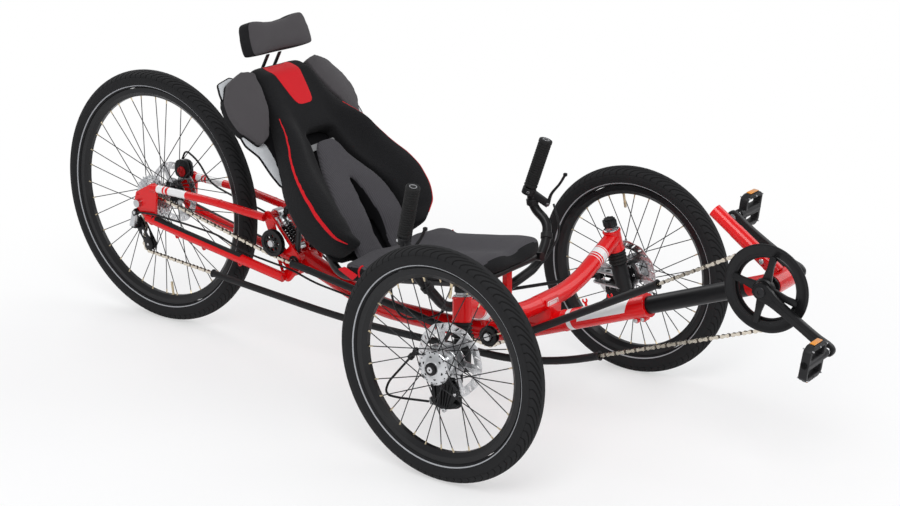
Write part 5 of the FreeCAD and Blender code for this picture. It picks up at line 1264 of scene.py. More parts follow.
def chainPins():
    # evenly spaced places round the circles
    rows, runs = chainRows, []
    for (y1, z1, r1, s1), (y2, z2, r2, s2) in zip(rows, rows[1:] + rows[:1]):
        a, b = s1 * r1, s2 * r2
        length = math.sqrt((y2 - y1) ** 2 + (z2 - z1) ** 2 - (b - a) ** 2)
        angle = math.atan2(z2 - z1, y2 - y1) - math.atan2(b - a, length)
        left = (-math.sin(angle), math.cos(angle))
        runs.append(((y1 - a * left[0], z1 - a * left[1]), (y2 - b * left[0], z2 - b * left[1])))
    line = []
    for i, (y, z, radius, turn) in enumerate(rows):
        start, end = runs[i - 1][1], runs[i][0]
        first = math.atan2(start[1] - z, start[0] - y)
        arc = (turn * (math.atan2(end[1] - z, end[0] - y) - first)) % (2 * math.pi)
        count = max(4, int(arc * radius / 4))
        for angle in (first + turn * arc * k / count for k in range(count)):
            line.append((y + radius * math.cos(angle), z + radius * math.sin(angle)))
        line.append(end)
    line = np.array(line + line[:1])
    lengths = np.concatenate([[0], np.cumsum(np.linalg.norm(np.diff(line, axis=0), axis=1))])
    places = np.linspace(0, lengths[-1], int(lengths[-1] / linkPitch) // 2 * 2, endpoint=False)
    return np.stack([np.interp(places, lengths, line[:, column]) for column in (0, 1)], axis=1)


pins = chainPins()


def linkItem(aside, rollerHalf, rollerRadius, sides):
    # two waisted plates half an inch long between their pins, with a pin or a roller at each end
    loop = []
    for middle, low, high, waist in ((6.35, -70, 70, 2.3), (-6.35, 110, 250, -2.3)):
        loop += [(middle + 4.4 * math.cos(a), 4.4 * math.sin(a)) for a in np.radians(np.linspace(low, high, 6))]
        loop.append((0, waist))
    count, pieces = len(loop), []
    for place in (-aside, aside):
        verts = [(place + x, u, v) for x in (-0.45, 0.45) for u, v in loop]
        faces = [range(count)[::-1], range(count, 2 * count), *gridFaces(2, count, roundRows=False)]
        pieces.append(shape(np.array(verts) / 1000, faces))
    return pieces + [bar(rollerRadius, -rollerHalf, rollerHalf, rearward * y / 1000, leftward, sides)
                     for y in (-6.35, 6.35)]


def covered(y, z):
    # inside a chain tube, where nothing is seen
    inUpper = (-305 < y < 55 and z > 205 + (55 - y) * 0.3) or (168 < y < 678 and z > 172)
    return inUpper or (-168 < y < 940 and z < 200 and not (40 < y < 200 and z > 160))


linkPlaces = ([], [])
for index, (here, after) in enumerate(zip(pins, np.roll(pins, -1, 0))):
    middle, step = (here + after) / 2, (after - here) / np.linalg.norm(after - here)
    if not covered(*middle):
        turn = Matrix(((1, 0, 0), (0, step[0], -step[1]), (0, step[1], step[0])))
        linkPlaces[index % 2].append(Matrix.Translation(at(chainX, *middle)) @ turn.to_4x4())
copies("chain_outer_links", linkItem(3.1, 3.7, 1.8, 8), linkPlaces[0], "chainSteel", replaced=("chain",), crease=40)
copies("chain_inner_links", linkItem(2.1, 1.7, 3.8, 9), linkPlaces[1], "chainDark", crease=40)
print("chain done,", len(linkPlaces[0]) + len(linkPlaces[1]), "links")

guardProfile = [(-56.2, 66), (-56.2, 88.5), (-56.8, 90), (-59.2, 90), (-60, 88.6), (-60, 84), (-58.8, 82),
                (-58.8, 71), (-60, 69.5), (-60, 66)]
innerGuard = [(-50.2, 61.5), (-50.2, 75.2), (-50.8, 75.8), (-53.4, 75.8), (-53.4, 61.5)]
ringTeeth = plate(toothedLoop(40, 76.5, 83.6), [ringLoop(0, 0, 62, 64)], 2.6,
                  wheelPlane(crankAxle - leftward * 0.052), bevel=0.3, mat=1)
makePiece("chainring_guard", [ringTeeth, lathe(guardProfile, crankAxle, leftward, 128),
                              lathe(innerGuard, crankAxle, leftward, 96)],
          ["blackAnodised", "polishedSteel"], "crankset", ("chainring",))
copies("chainring_bolts", boltItem(5.2, 1.6),
       circlePlaces(crankAxle, -leftward, -60.2, 66.5, 4, math.radians(135 - crankAngle)), "silverAlloy", "crankset")

armHalf = ((-18, 0), (-17.4, 7), (-12, 14.5), (0, 17.6), (14, 15.6), (34, 12.2), (70, 10.6), (110, 10.2), (140, 10.8),
           (156, 12.6), (165, 13.4), (174, 12.4), (181, 8), (183.4, 0))
armCap = ((84.0, 0), (84.0, 10.6), (85.6, 10.6), (86.4, 9.4), (86.4, 5), (85.2, 5), (85.2, 0))
spiderArm = roundLoop([(14, -11), (14, 11), (48, 6.4), (66, 7.4), (72, 5), (72, -5), (66, -7.4), (48, -6.4)], 4)


def alongX(side, profile):
    return [(side * x, radius) for x, radius in profile]


def crankPieces(side, word):
    # forged arm: wide at the axle, waisted, with an eye at its end; its faces chamfered
    loop = softLoop([*armHalf, *[(u, -v) for u, v in reversed(armHalf[1:-1])]])
    lean = math.radians(crankAngle)
    reach = Vector((0, -math.cos(lean), -math.sin(lean))) * -side
    up = (leftward * side).cross(reach)
    groove = roundLoop([(26, -4.4), (26, 4.4), (146, 3.2), (146, -3.2)], 3)
    pieces = [plate(loop, [ringLoop(170, 0, 7.2)], 13.6, planeAt(crankAxle + leftward * side * 0.077, reach, up),
                    bevel=3.2),
              plate(groove, [], 1.0, planeAt(crankAxle + leftward * side * 0.0839, reach, up), bevel=0.3),
              lathe(alongX(side, armCap), crankAxle, leftward, 32, 1)]
    if side < 0:
        hub = [(-72, 12), (-72, 20), (-69, 23), (-62, 23.5), (-58.5, 21), (-58.5, 12)]
        pieces += [bar(12, -76, 69.8, crankAxle, leftward, 32, 1), lathe(hub, crankAxle, leftward, 40)]
        for place in circlePlaces(crankAxle, leftward, -64.2, 1, 4, math.radians(135 - crankAngle)):
            along = place.translation - crankAxle - leftward * -0.0642
            armPlane = planeAt(crankAxle - leftward * 0.0642, along, (-leftward).cross(along))
            pieces.append(plate(spiderArm, [], 7.6, armPlane, bevel=1.4))
    makePiece(f"crank_{word}_arm", pieces, ["blackAnodised", "darkSpoke"], "crankset", (f"crank_{word}",))


pedalTilt = {-1: 98.0, 1: 97.0}
pedalOutline = [(112, -30), (124, -36.5), (170, -36.5), (182, -28), (182, 28), (170, 36.5), (124, 36.5), (112, 30)]
pedalTube = [(98, 7.2), (98, 10.5), (112, 10.5), (116, 9.8), (180, 9.2), (182, 7), (182, 0), (98.5, 0)]
pedalSpindle = [(71, 0), (71, 7), (85, 7), (85.4, 8.8), (92, 8.8), (92, 6.6), (99, 6.6), (99, 0)]
gripPin = lathe([(-1, 0), (-1, 1.7), (2.6, 1.7), (3.1, 1.2), (3.1, 0)], origin, leftward, 8)


def pedalPieces(side, word):
    body = "pedal_" + word
    centre = jointPlace[body + "_turn"]
    turned = Matrix.Translation(centre) @ Matrix.Rotation(math.radians(pedalTilt[side]), 4, "X")
    place = turned @ Matrix.Scale(0.001, 4)

    def loop(corners, radius):
        return roundLoop([(side * x, y) for x, y in corners], radius)

    holes = [loop([(120, low), (174, low), (174, high), (120, high)], 4) for low, high in ((-27, -10), (10, 27))]
    pieces = [plate(loop(pedalOutline, 5), holes, 17, place, bevel=1.4),
              moved(lathe(alongX(side, pedalTube), origin, leftward, 24), turned),
              lathe(alongX(side, pedalSpindle), centre, leftward, 24, 1)]
    reflectors = []
    for edge in (-1, 1):
        rail = loop([(121, edge * 33), (173, edge * 33), (168, edge * 38.4), (126, edge * 38.4)], 2)
        pieces.append(plate(rail, [], 8, place, bevel=0.8))
        facing = turned @ Matrix.Translation((0, edge * 0.0388, 0)) @ planeAt(origin, leftward, upward)
        reflectors.append(plate(loop([(130, -5.4), (164, -5.4), (164, 5.4), (130, 5.4)], 1.2), [], 1.8, facing))
    makePiece(body + "_cage", pieces, ["blackPlastic", "polishedSteel"], body, (body,))
    makePiece(body + "_reflectors", reflectors, ["orangeReflector"], body)
    places = [turnedTo(turned @ (Vector((side * x, y, face * 8.5)) / 1000), turned.to_3x3() @ (upward * face))
              for x, y in ((118, -31), (147, -32), (176, -30), (118, 31), (147, 32), (176, 30)) for face in (1, -1)]
    copies(body + "_pins", [gripPin], places, "polishedSteel", body)


for crankSide, crankWord in reversed(bothSides):
    crankPieces(crankSide, crankWord)
for pedalSide, pedalWord in bothSides:
    pedalPieces(pedalSide, pedalWord)
print("cranks and pedals done")


def idlerPieces(word, pitch, teeth, windows):
    # windows: share of the core's radius, radius, number and sides of the round holes
    body, core = word + "_idler", pitch - 4.3
    middle = jointPlace[body + "_turn"].copy()
    middle.x = chainX / 1000
    edge = [(4.4, core - 2.2), (4.4, pitch + 0.4), (5.0, pitch + 1), (6.2, pitch + 0.6), (6.3, pitch - 1),
            (6.3, core - 3), (5.0, core - 4)]
    far = [(6.3, core - 3), (6.3, pitch + 0.6), (5.0, pitch + 1), (4.4, pitch + 0.4), (4.4, core - 2.2)]
    share, radius, count, sides = windows
    flat = wheelPlane(middle)
    pieces = [lathe([(-x, r) for x, r in edge] + [(5.0, core - 4), *far], middle, leftward, 64),
              plate(ringLoop(0, 0, core - 2, 56), [ringLoop(0, 0, 6), *ringOf(radius, count, core * share, sides)],
                    7.0, flat, bevel=0.6),
              plate(toothedLoop(teeth, core - 0.4, pitch + 2.2), [ringLoop(0, 0, core - 4, 40)], 2.2, flat,
                    bevel=0.25),
              lathe([(-6.6, 5.1), (-6.6, 8.6), (-4, 10), (4, 10), (6.6, 8.6), (6.6, 5.1)], middle, leftward, 32, 1)]
    makePiece(body + "_wheel", pieces, ["blackPlastic", "polishedSteel"], body, (body,))


idlerPieces("rear", 32.0, 16, (0.60, 4.2, 8, 14))
idlerPieces("front", 22.0, 11, (0.62, 2.3, 6, 12))

# castings of the derailleur: inward offset from the chain, place
hangerBlock = ((15.5, 1176, 300), (15.5, 1187, 311.5), (15.5, 1198, 300), (15.5, 1187, 290), (30, 1176, 300),
               (30, 1187, 311), (30, 1198, 300), (30, 1190, 288))
linkBlock = ((29, 1182, 304), (29, 1196, 302), (24, 1181, 302), (24, 1195, 300), (30, 1193, 262), (30, 1209, 262),
             (17, 1192, 260), (17, 1208, 260))
cageBlock = ((9, 1189, 274), (9, 1208, 272), (9, 1190, 255), (9, 1208, 255), (25, 1191, 272), (25, 1207, 271),
             (25, 1191, 256), (25, 1207, 256))
cageLoop = softLoop([(1213, 268.5), (1201, 279.5), (1186, 270.5), (1168, 243.5), (1152, 216.5), (1161, 200.5),
                     (1177, 203.5), (1181, 220.5), (1196, 241.5)], 5)
cageWindow = roundLoop([(1173, 228.5), (1186, 235.5), (1188, 249.5), (1178, 251.5)], 3)


def derailleurPieces():
    pieces = [plate(cageLoop, [cageWindow], 1.9, wheelPlane(at(chainX + shift, 0, 0)), bevel=0.3)
              for shift in (7.4, -7.4)]
    for y, z, _, _ in chainRows[4:6]:
        pieces.append(plate(toothedLoop(11, 16.2, 20.6), ringOf(2.0, 5, 7.6, 10), 2.4, wheelPlane(at(chainX, y, z)),
                            bevel=0.3))
        pieces.append(rod(at(chainX - 9.4, y, z), at(chainX + 9.4, y, z), 3.4, 14, 1))
    for rows, ease, mat in ((hangerBlock, 2.5, 0), (linkBlock, 1.8, 2), (cageBlock, 2.4, 0)):
        pieces.append(castBlock([at(chainX - a, y, z) for a, y, z in rows], ease, mat))
    for low, high, y, z, radius in ((31.5, 14, 1187, 300.5, 4.6), (27, 24, 1199, 264.5, 4.0)):
        pieces.append(rod(at(chainX - low, y, z), at(chainX - high, y, z), radius, 18, 1))
    makePiece("derailleur_cage", pieces, ["blackAnodised", "polishedSteel", "silverAlloy"], replaced=("derailleur",))


derailleurPieces()
dress("blackPlastic", "chain_tubes")
dress("polishedSteel", "idler_bolts")
print("drive done")


# frame, steering and suspension details

for finishName, nodeNames in (
        ("redPaint", ("accessory_post", "dropouts")), ("redFrame", ("main_frame",)), ("redStays", ("stays",)),
        ("redArmLeft", ("cross_arm_left",)), ("redArmRight", ("cross_arm_right",)), ("boomBlack", ("boom",)),
        ("polishedSteel", ("rear_axle",)), ("blackPaint", ("seat_frame",)),
        ("blackAnodised", ("handlebar", "tie_rod_left", "tie_rod_right")),
        ("cableSheath", ("frame_cables", "bar_cables", "knuckle_left_cable", "knuckle_right_cable"))):
    dress(finishName, *nodeNames)

kingLean, kingCaster = math.tan(math.radians(11.5)), math.tan(math.radians(8))


def onKingpin(side, rise):
    return at(side * (295 - rise * kingLean), 5.5 + rise * kingCaster, 343.5 + rise)


def hullLoop(circles, count=40):
    # outline stretched round circles (u, v, radius)
    points = sorted({(round(a, 4), round(b, 4)) for u, v, radius in circles
                     for a, b in ringLoop(u, v, radius, count)})

    def half(rows):
        chain = []
        for u, v in rows:
            while len(chain) > 1 and ((chain[-1][0] - chain[-2][0]) * (v - chain[-2][1])
                                      - (chain[-1][1] - chain[-2][1]) * (u - chain[-2][0])) <= 0:
                chain.pop()
            chain.append((u, v))
        return chain[:-1]

    return half(points) + half(points[::-1])


def lathes(rows):
    # rows: profile, place, axis, steps, material
    return [lathe(*row) for row in rows]


def symmetric(half):
    # profile the same on both sides of its middle; half from the middle outwards
    return [(-x, radius) for x, radius in reversed(half)] + list(half)


headBand = symmetric(((1.0, 21.4), (1.5, 20.9), (1.5, 18.8)))
knobNut = [(25.6, 10.3), (25.6, 17.2), (26.4, 18), (28.6, 18), (29.2, 17.2), (29.2, 10.3)]
knobFoot = [(29.2, 10.3), (29.2, 14.4), (34.2, 14.4), (34.2, 10.3)]
bootFold = ((0, 18.2), (1.8, 21.2), (3.4, 22), (5.0, 21.2), (6.8, 18.2))
bootProfile = [(-25.4, 10.4), (-25.4, 19),
               *[(-26.6 - fold * 8.0 - x, radius) for fold in range(4) for x, radius in bootFold],
               (-58.2, 17.6), (-58.2, 10.4)]
kingSleeve = [(-127.4, 6), (-127.4, 16.5), (-125, 18.6), (-100, 19), (-66, 19), (-60, 17), (-60, 6)]
axleRoot = [(0, 0), (0, 18), (20, 18), (26, 16), (27.6, 12), (27.6, 0)]
hoseStop = [(0, 2.6), (0, 6.4), (1, 7), (8, 7), (9, 5.2), (20, 5.2), (21, 6.8), (29, 6.8), (30.4, 5.8), (30.4, 2.6)]
eyeNut = [(17, 0), (17, 6.6), (18.6, 7), (20.6, 6.4), (21.4, 4.6), (21.4, 0)]
mountLoop = roundLoop([(-22, -52), (46, -52), (46, -30), (28, -10), (-14, -10), (-22, -20)], 7)
stopArm = roundLoop([(-10, -16), (100, -13), (104, -8), (100, -4), (-10, -3)], 5)


def knobPieces(word, up, base):
    lobes = []
    for angle in (2 * math.pi * step / 96 for step in range(96)):
        edge = 15.2 + 1.8 * math.cos(6 * angle)
        lobes.append((edge * math.cos(angle), edge * math.sin(angle)))
    sideways = up.orthogonal().normalized()
    knob = lathes(((knobNut, base, up, 48, 1), (knobFoot, base, up, 6, 1)))
    for rise, thick, share, bevel in ((43.0, 17.0, 1.0, 2.0), (53.2, 4.6, 0.74, 1.2)):
        knob.append(plate([(u * share, v * share) for u, v in lobes], [], thick,
                          planeAt(base + up * rise / 1000, sideways, up.cross(sideways)), bevel=bevel))
    makePiece(f"knuckle_{word}_cap_and_boot", [*knob, lathe(bootProfile, base, up, 56, 2)],
              ["blackPlastic", "polishedSteel", "gripRubber"], f"knuckle_{word}", (f"knuckle_{word}_covers",),
              crease=40)


def uprightPieces(side, name, up, base):
    axle, out, flat = at(side * 314, 0, 250), leftward * side, wheelPlane(at(side * 333, 0, 250))
    stopHead, stopFoot = at(side * 334, 92, 249), at(side * 334, 112, 226)
    shaft = [bar(9.9, -127, 41, base, up, 32, 1), bar(9.9, 26, 97.5, axle, out, 32, 1),
             *lathes(((kingSleeve, base, up, 48), (axleRoot, axle, out, 48),
                      (hoseStop, stopHead, stopFoot - stopHead, 24))),
             plate(mountLoop, [ringLoop(u, -40, 3.4, 14) for u in (-8, 34)], 5.6, flat, bevel=0.8),
             plate(stopArm, [ringLoop(50, -9.5, 2.6, 14), ringLoop(70, -9.0, 2.6, 14)], 4.8,
                   wheelPlane(at(side * 333.5, 0, 250)), bevel=0.8)]
    makePiece(f"{name}_upright", shaft, ["blackAnodised", "polishedSteel"], name, (name,))
    eye = onKingpin(side, -101.5) + rearward * 0.065
    arms = [bar(4, -19, 19, eye, up, 20, 2), *lathes((eyeNut, eye, up * end, 6, 2) for end in (1, -1))]
    for lift in (0.014, -0.014):
        flat = planeAt(eye + upward * lift, leftward, rearward)
        arms.append(plate(hullLoop([(0, 0, 12), (0, -65, 16)]), [ringLoop(0, -26, 6.4)], 5.0, flat, bevel=0.9))
        arms.append(plate(ringLoop(0, -26, 6.3), [ringLoop(0, -26, 4.2, 20)], 5.4, flat, mat=1))
    makePiece(f"{name}_arm_plates", arms, ["silverAlloy", "blackPlastic", "polishedSteel"], name)


caliperLayers = (
    (softLoop([(-34, -22), (-10, -31), (22, -31), (35, -20), (36, 8), (30, 30), (8, 38), (-20, 38), (-35, 26),
               (-36, 0)]),
     6.2, 339.6, 1.4),
    (softLoop([(-31, 24), (-33, 4), (-22, -14), (-4, -29), (14, -30), (26, -14), (33, 4), (31, 24), (10, 35),
               (-16, 35)]),
     6.4, 349.4, 1.8),
    (softLoop([(-30, -21), (-8, -29.5), (20, -29.5), (33, -19), (30, -12), (-28, -12)]), 12, 345, 1.0),
)
caliperDrum = [(0, 0), (0, 21.8), (2, 22), (8, 21), (11, 18.5), (13.4, 17.6), (14, 16), (14, 7), (12.6, 7), (12.6, 0)]
adjuster = [(0, 1.8), (0, 4.6), (7, 4.6), (8, 3.8), (8, 1.8)]
leverLoop = ((12, 184), (30, 178), (66, 147), (64, 133), (34, 134), (8, 160))


def caliperPieces(side, name):
    out = leftward * side

    def spot(x, u=0.0, v=0.0):
        return at(side * x, 12 + u, 172 + v)

    pieces = [plate(loop, [], thick, wheelPlane(spot(x)), bevel=bevel) for loop, thick, x, bevel in caliperLayers]
    for rib in range(6):
        ends = ((-9 + rib * 5.4, -24), (-24 + rib * 9.6, 26))
        pieces.append(castBlock([spot(x, u + a, v) for u, v in ends for a in (-1.5, 1.5) for x in (351.6, 355.4)],
                                0.7))
    pieces.append(lathe(caliperDrum, spot(336.5), -out, 48))
    pieces += [lathe(adjuster, spot(346, u, -33), out, 20, 1) for u in (0, 14)]
    pieces += [bar(1.9, 0, 7, spot(328, u, v), out, 8) for u, v in ringLoop(0, 0, 20.4, 10)]
    pieces.append(castBlock([at(side * x, y, z) for x in (326.5, 330.5) for y, z in leverLoop], 1.2, 1))
    makePiece(f"{name}_brake", pieces, ["blackAnodised", "silverAlloy"], name, (f"{name}_caliper",))
    places = [turnedTo(at(side * x, y, z), out * way) for x, y, z, way in (
        (353.6, -18, 181, 1), (353.6, 42, 181, 1), (326.2, 58, 140, -1), (326.2, 12, 172, -1))]
    copies(f"{name}_brake_bolts", boltItem(3.4, 2.4), places, "polishedSteel", name)


for endSide, endWord in bothSides:
    kingBase = onKingpin(endSide, 0)
    kingUp = (onKingpin(endSide, 1) - kingBase).normalized()
    bands = [lathe([(x + h, radius) for x, radius in headBand], kingBase, kingUp, 56) for h in (-23.0, 22.5)]
    makePiece(f"head_tube_{endWord}_bands", bands, ["redPaint"])
    knobPieces(endWord, kingUp, kingBase)
    uprightPieces(endSide, f"knuckle_{endWord}", kingUp, kingBase)
    caliperPieces(endSide, f"knuckle_{endWord}")
print("front ends done")

boomSlope = math.tan(math.radians(20.5))


def onBoom(y):
    return at(0, y, 239.4 - boomSlope * (y + 38))


# hooks on the front tube: rise and forward reach of each point, radius
hookRows = ((0, 0, 3.0), (6, 1, 2.4), (11, 5, 2.1), (16, 4, 1.5))
boomBead = symmetric(((0, 24.3), (1.5, 23.91), (2.5, 22.7)))
boomLip = [(0, 22.6), (0, 25.4), (1, 26), (3, 25.6), (3, 22.6)]


def mainTubePieces():
    ahead = (onBoom(-200) - onBoom(0)).normalized()
    up = ahead.cross(leftward)
    pieces = []
    for y in (-116, -178):
        for lean in (1, -1):
            points = [onBoom(y) + up * (22.8 + rise) / 1000 + ahead * lean * reach / 1000
                      for rise, reach, _ in hookRows]
            pieces.append(sweep(points, [row[2] for row in hookRows], steps=4))
    pieces += lathes(((boomBead, onBoom(-56), ahead, 56), (boomLip, onBoom(-262), -ahead, 64)))
    makePiece("front_tube_hooks", pieces, ["redPaint"])
    places = [turnedTo(onBoom(step) + Vector((end * 0.0092, 0, -0.028)), leftward * end) for step in (-253, -237)
              for end in (1, -1)]
    copies("clamp_bolts", boltItem(4.4, 4.0), places, "silverAlloy")
    badge = roundLoop([(-20, 11), (20, 11), (20, -3), (12, -11), (-12, -11), (-20, -3)], 2.5, 3)
    rim, inside = ([(u * share, v * share) for u, v in badge] for share in (0.86, 0.76))
    flat = planeAt(at(0, -22.6, 276), leftward, upward)
    makePiece("junction_plate", [plate(badge, [], 1.6, flat, bevel=0.3),
                                 plate(rim, [inside], 2.2, flat, bevel=0.15, mat=1)],
              ["whitePlate", "redPaint"])


mainTubePieces()

postAngle = math.radians(35.7)
postRise = Vector((0, math.cos(postAngle), math.sin(postAngle)))
postFoot = crankAxle + Vector((0, 0.004, 0.017))
cupProfile = [(34.6, 12.4), (34.6, 19.4), (36.2, 19.8), (39.2, 19.2), (40, 18), (40, 12.4)]
postCollar = [(-1.0, 13.0), (-1.0, 15.4), (4, 15.7), (5, 14.8), (5, 13)]
makePiece("bottom_bracket_cups",
          lathes(((cupProfile, crankAxle, leftward, 48), (cupProfile, crankAxle, -leftward, 48),
                  (postCollar, postFoot + postRise * 0.022, postRise, 48, 1))), ["blackAnodised", "redPaint"])
copies("post_bolts", boltItem(5.4, 3.4),
       [turnedTo(postFoot + postRise * 0.036 + leftward * end * 0.0144, leftward * end) for end in (-1, 1)],
       "silverAlloy")

tubeLip = [(-4.5, 6.5), (-4.5, 8.8), (-2, 9.4), (0, 10.4), (1.2, 10.6), (1.6, 9.8), (0.4, 8.2), (-1, 6.6)]


def chainTubeEnd(y, towards, wanted):
    # lip where the upper or lower run of the chain (the wanted one) leaves its tube
    near = pins[np.argsort(np.abs(pins[:, 0] - y))][:12]
    height = wanted(near[:, 1])
    best = next(p for p in near if abs(p[1] - height) < 6)
    index = int(np.argmin(np.linalg.norm(pins - best, axis=1)))
    direction = pins[(index + 1) % len(pins)] - pins[index - 1]
    direction /= np.linalg.norm(direction)
    place = best + direction * (y - best[0]) / direction[0]
    along = Vector((0, *direction))
    return lathe(tubeLip, at(chainX, *place), along if along.y * towards > 0 else -along)


makePiece("chain_tube_lips", [chainTubeEnd(*row) for row in (
    (-310, -1, max), (60, 1, max), (160, -1, max), (684, 1, max), (948, 1, min), (-175, -1, min))], ["blackPlastic"])

pivot = at(0, 690, 250)
yokeWindows = [roundLoop(corners, 3) for corners in (
    [(722, 256), (748, 302), (739, 250)], [(704, 288), (752, 342), (746, 316), (718, 274)],
    [(713, 230), (736, 246), (728, 220)])]
pivotRing = [(39.2, 6.1), (39.2, 15.6), (40.0, 16.2), (40.6, 15.6), (40.6, 6.1)]
pivotCap = [(40.2, 0), (40.2, 9.6), (41, 9.6), (41, 4.6), (40.4, 4.6), (40.4, 0)]
yoke = [bar(9, -34, 34, at(0, 771, 350)), bar(7, -34, 34, at(0, 715, 210), steps=28),
        bar(5.9, -41, 41, pivot, steps=24, mat=2)]
for sign in (1, -1):
    yoke.append(plate(hullLoop([(690, 250, 23), (715, 210, 14), (771, 350, 13)]), yokeWindows, 5.8,
                      wheelPlane(at(sign * 36.3, 0, 0)), bevel=1.0))
    yoke += lathes(((pivotRing, pivot, leftward * sign, 48, 1), (pivotCap, pivot, leftward * sign, 32, 2)))
makePiece("swingarm_yoke_plates", yoke, ["redPaint", "blackAnodised", "polishedSteel"], replaced=("swingarm_yoke",))

# centre lines of the lower and the upper stays: behind the axle, aside, above the ground
lowerStay = ((715, 51.3, 210), (1035, 67, 268.5), (1149, 71, 291.5))
upperStay = ((771, 49.3, 350), (935, 63, 368.5))


def onStay(stay, side, y, aside=0.0, above=0.0):
    return (side * (table(stay)(y) + aside), y, table(stay, 2)(y) + above)


eyelets = []
for sign in (1, -1):
    for y in (1052, 965, 850):
        eyelets.append(plate(hullLoop([(0, 0, 5.2), (-5, 6, 3), (5, 7, 3)], 16), [ringLoop(0, 0, 2.4, 14)], 4.6,
                             wheelPlane(at(*onStay(lowerStay, sign, y, above=-14.5))), bevel=0.6))
    for y in (830, 905):
        eyelets.append(lathe([(-2, 9.6), (-1.2, 10.6), (1.2, 10.6), (2, 9.6)], at(*onStay(upperStay, sign, y)),
                             (sign * 0.08, 1, 0.11)))
makePiece("stay_eyelets", eyelets, ["redPaint"])

staysTree = treeOf(nodes["stays"])
guards = [ribbon(staysTree, [onStay(lowerStay, sign, y, 5, 13) for y in (842, 900, 960, 1020, 1080, 1128)],
                 [15, 15, 15, 15, 21, 23], basePlane, lift=1.1, columns=7) for sign in (1, -1)]
ribbonPiece("stay_guards", guards, "blackPlastic", thick=1.0)


coil = {"turns": 5.5, "wire": 2.7, "radius": 13.8, "from": 0.2, "run": 0.43, "steps": 16}
# profiles of the shock absorber along its length, as shares of it
springSeat = ((0.14, 6), (0.14, 15), (0.155, 17), (0.19, 17), (0.2, 15.6), (0.2, 6))
damperCan = ((0.63, 6), (0.63, 16), (0.645, 17), (0.67, 17), (0.68, 15), (0.7, 13.4), (0.72, 14), (0.86, 14),
             (0.9, 11), (0.9, 6))
damperKnob = [(12, 0), (12, 5), (22, 5.4), (24, 7.6), (37, 7.8), (38.4, 6.8), (38.4, 0)]


def shockPieces():
    foot, head = at(0, 703, 277), at(0, 771, 350)
    along, length = (head - foot).normalized(), (head - foot).length * 1000
    footEye = symmetric(((10.4, 9.5), (11.2, 8.6), (11.2, 4.4)))
    headEye = symmetric(((10.4, 13), (11.2, 12), (11.2, 9.4)))
    pieces = [bar(7.8, 2, length * 0.66, foot, along, 32, 1),
              lathe([(length * x, radius) for x, radius in springSeat], foot, along, 48),
              lathe([(length * x, radius) for x, radius in damperCan], foot, along, 48, 1),
              lathe(footEye, foot, leftward, 32, 1), lathe(headEye, head, leftward, 40, 1),
              lathe(damperKnob, foot + along * length * 0.76 / 1000, (0, -14, 36), 32)]
    line, count = [], int(coil["turns"] * coil["steps"])
    for step in range(count + 1):
        angle = 2 * math.pi * step / coil["steps"]
        aside = (leftward * math.cos(angle) + along.cross(leftward) * math.sin(angle)) * coil["radius"]
        line.append(foot + (along * length * (coil["from"] + coil["run"] * step / count) + aside) / 1000)
    pieces.append(sweep(line, [coil["wire"]] * len(line), steps=2))
    makePiece("shock_coil_and_damper", pieces, ["blackAnodised", "silverAlloy"], replaced=("shock_absorber",),
              crease=40)


shockPieces()

rearHousing = softLoop([(-24, -16), (-10, -23), (16, -22), (24.6, -12), (24, 10), (14, 22), (-10, 24), (-23, 14)])
rearKnob = [(0, 0), (0, 12.2), (1.0, 13.2), (2.6, 13.2), (3.4, 12), (3.4, 8), (2.6, 7.4), (2.6, 0)]
rearLever = ((62, 1120, 400), (62, 1150, 396), (62, 1150, 382), (62, 1120, 384), (66, 1122, 398), (66, 1148, 394),
             (66, 1148, 384), (66, 1122, 386))
rearBridge = roundLoop([(-20, 17.4), (20, 17.4), (14, 22), (-12, 23)], 2)
rearBrake = [plate(loop, [], thick, wheelPlane(at(x, 1138, 394)), bevel=bevel) for loop, thick, x, bevel in (
    (rearHousing, 4.6, 46.2, 1.4), (rearHousing, 9.4, 57.4, 2.0), (rearBridge, 8, 50.5, 0.8))]
rearBrake.append(lathe(rearKnob, at(44.2, 1138, 388), -leftward, 36, 1))
rearBrake += [bar(1.6, 0, 3.2, at(44.2, 1138 + u, 388 + v), -leftward, 8, 1) for u, v in ringLoop(0, 0, 12.4, 9)]
rearBrake += [castBlock([at(*corner) for corner in rearLever], 1.2),
              rod(at(50, 1138, 414), at(50, 1140, 418.6), 4.2, 16, 2)]
makePiece("rear_brake_body", rearBrake, ["blackAnodised", "redAnodised", "silverAlloy"], replaced=("rear_caliper",))
copies("rear_brake_bolts", boltItem(3.2, 2.6), [turnedTo(at(62.0, y, z), leftward) for y, z in (
    (1121, 378), (1155, 381), (1120, 408), (1154, 406))], "polishedSteel")
print("rear suspension done")


# handlebar ends

gripRib = ((8, 14.6), (8.8, 15.7), (11.6, 15.7), (12.4, 14.6))
gripProfile = [(0, 11.4), (0, 15.4), (1, 16), (4, 16), (5, 14.8),
               *[(x + k * 5.9, radius) for k in range(17) for x, radius in gripRib],
               (109, 14.8), (110, 16), (116, 16), (118, 15.2), (119, 13), (119, 11.4)]
gripCap = [(113.4, 11.2), (113.4, 15), (118.6, 14), (119, 13.2), (119, 9.4), (118.2, 9), (118.2, 0), (113.4, 0)]
gripRing = [(118.4, 6.2), (118.4, 8.6), (118.95, 8.4), (118.95, 6.4)]
leverClamp = symmetric(((7.2, 16.1), (8, 15.4), (8, 11.3)))
barClamp = symmetric(((6, 14), (7, 13.2), (7, 11.1)))
bladeRows = ((0, 0, 0, 6.4), (5, -6, 24, 5.2), (8, -26, 50, 4.6), (10, -40, 74, 4.8))
signs = (1, -1)
gripShapes, leverShapes, clampShapes = [], [], []
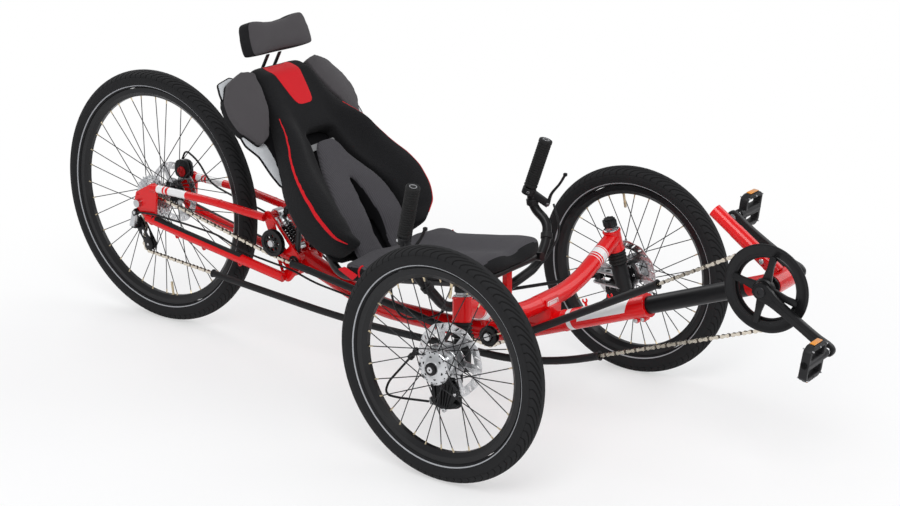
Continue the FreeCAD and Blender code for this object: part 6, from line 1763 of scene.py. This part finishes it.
for side in signs:
    top, foot = at(side * 249, 164, 565), at(side * 237, 197, 455)
    along = (top - foot).normalized()
    start, clampAt, reach = top - along * 0.116, top - along * 0.128, Vector((side * 0.020, -0.040, -0.030))
    gripShapes += lathes(((gripProfile, start, along, 48), (gripCap, start, along, 40, 1),
                          (gripRing, start, along, 32, 2)))
    near, far, wide = clampAt + reach * 0.25, clampAt + reach, along.cross(reach).normalized()
    bracket = [place + (wide * a * size + along * b * high) / 1000
               for place, size, high in ((near, 7.5, 9), (far, 6.5, 8.6)) for a in signs for b in signs]
    blade = [far + Vector((side * x, y, z)) / 1000 for x, y, z, _ in bladeRows]
    tip = [blade[-1] + Vector((a, b, c)) * 0.0042 for a in signs for b in signs for c in signs]
    leverShapes += [lathe(leverClamp, clampAt, along, 40), castBlock(bracket, 2.4),
                    rod(far - wide * 0.0088, far + wide * 0.0088, 4.2, 18, 2),
                    rod(clampAt - wide * 0.0165, clampAt - wide * 0.012, 3.6, 14, 2),
                    sweep(blade, [row[3] for row in bladeRows], 16, 8, 1, 0.62, (0, 1, 0.6)), castBlock(tip, 2.6, 1)]
    for lower, upper in (((222, 142, 336), (247, 156, 372)), ((243, 194, 404), (237, 197, 455))):
        low, high = (at(side * x, y, z) for x, y, z in (lower, upper))
        clampShapes.append(lathe(barClamp, low * 0.75 + high * 0.25, high - low))
makePiece("grip_covers", gripShapes, ["gripRubber", "blackPlastic", "polishedSteel"], "handlebar", ("grips",),
          crease=30)
makePiece("brake_lever_arms", leverShapes, ["blackPlastic", "blackAnodised", "polishedSteel"], "handlebar",
          ("brake_levers",))
makePiece("bar_clamps", clampShapes, ["blackPlastic"], "handlebar")
pivotCollar = [(0, 8.4), (0, 13), (3, 13), (3, 8.4)]
pivotNut = [(2.6, 0), (2.6, 7.6), (8, 7.2), (9, 6), (9, 3), (6, 3), (6, 0)]
hubTop = at(0, 150, 269)
makePiece("bar_pivot_cap", lathes(((pivotCollar, hubTop, upward, 32), (pivotNut, hubTop, upward, 6, 1))),
          ["blackAnodised", "polishedSteel"], "handlebar")
print("controls done")

print("pieces ready")
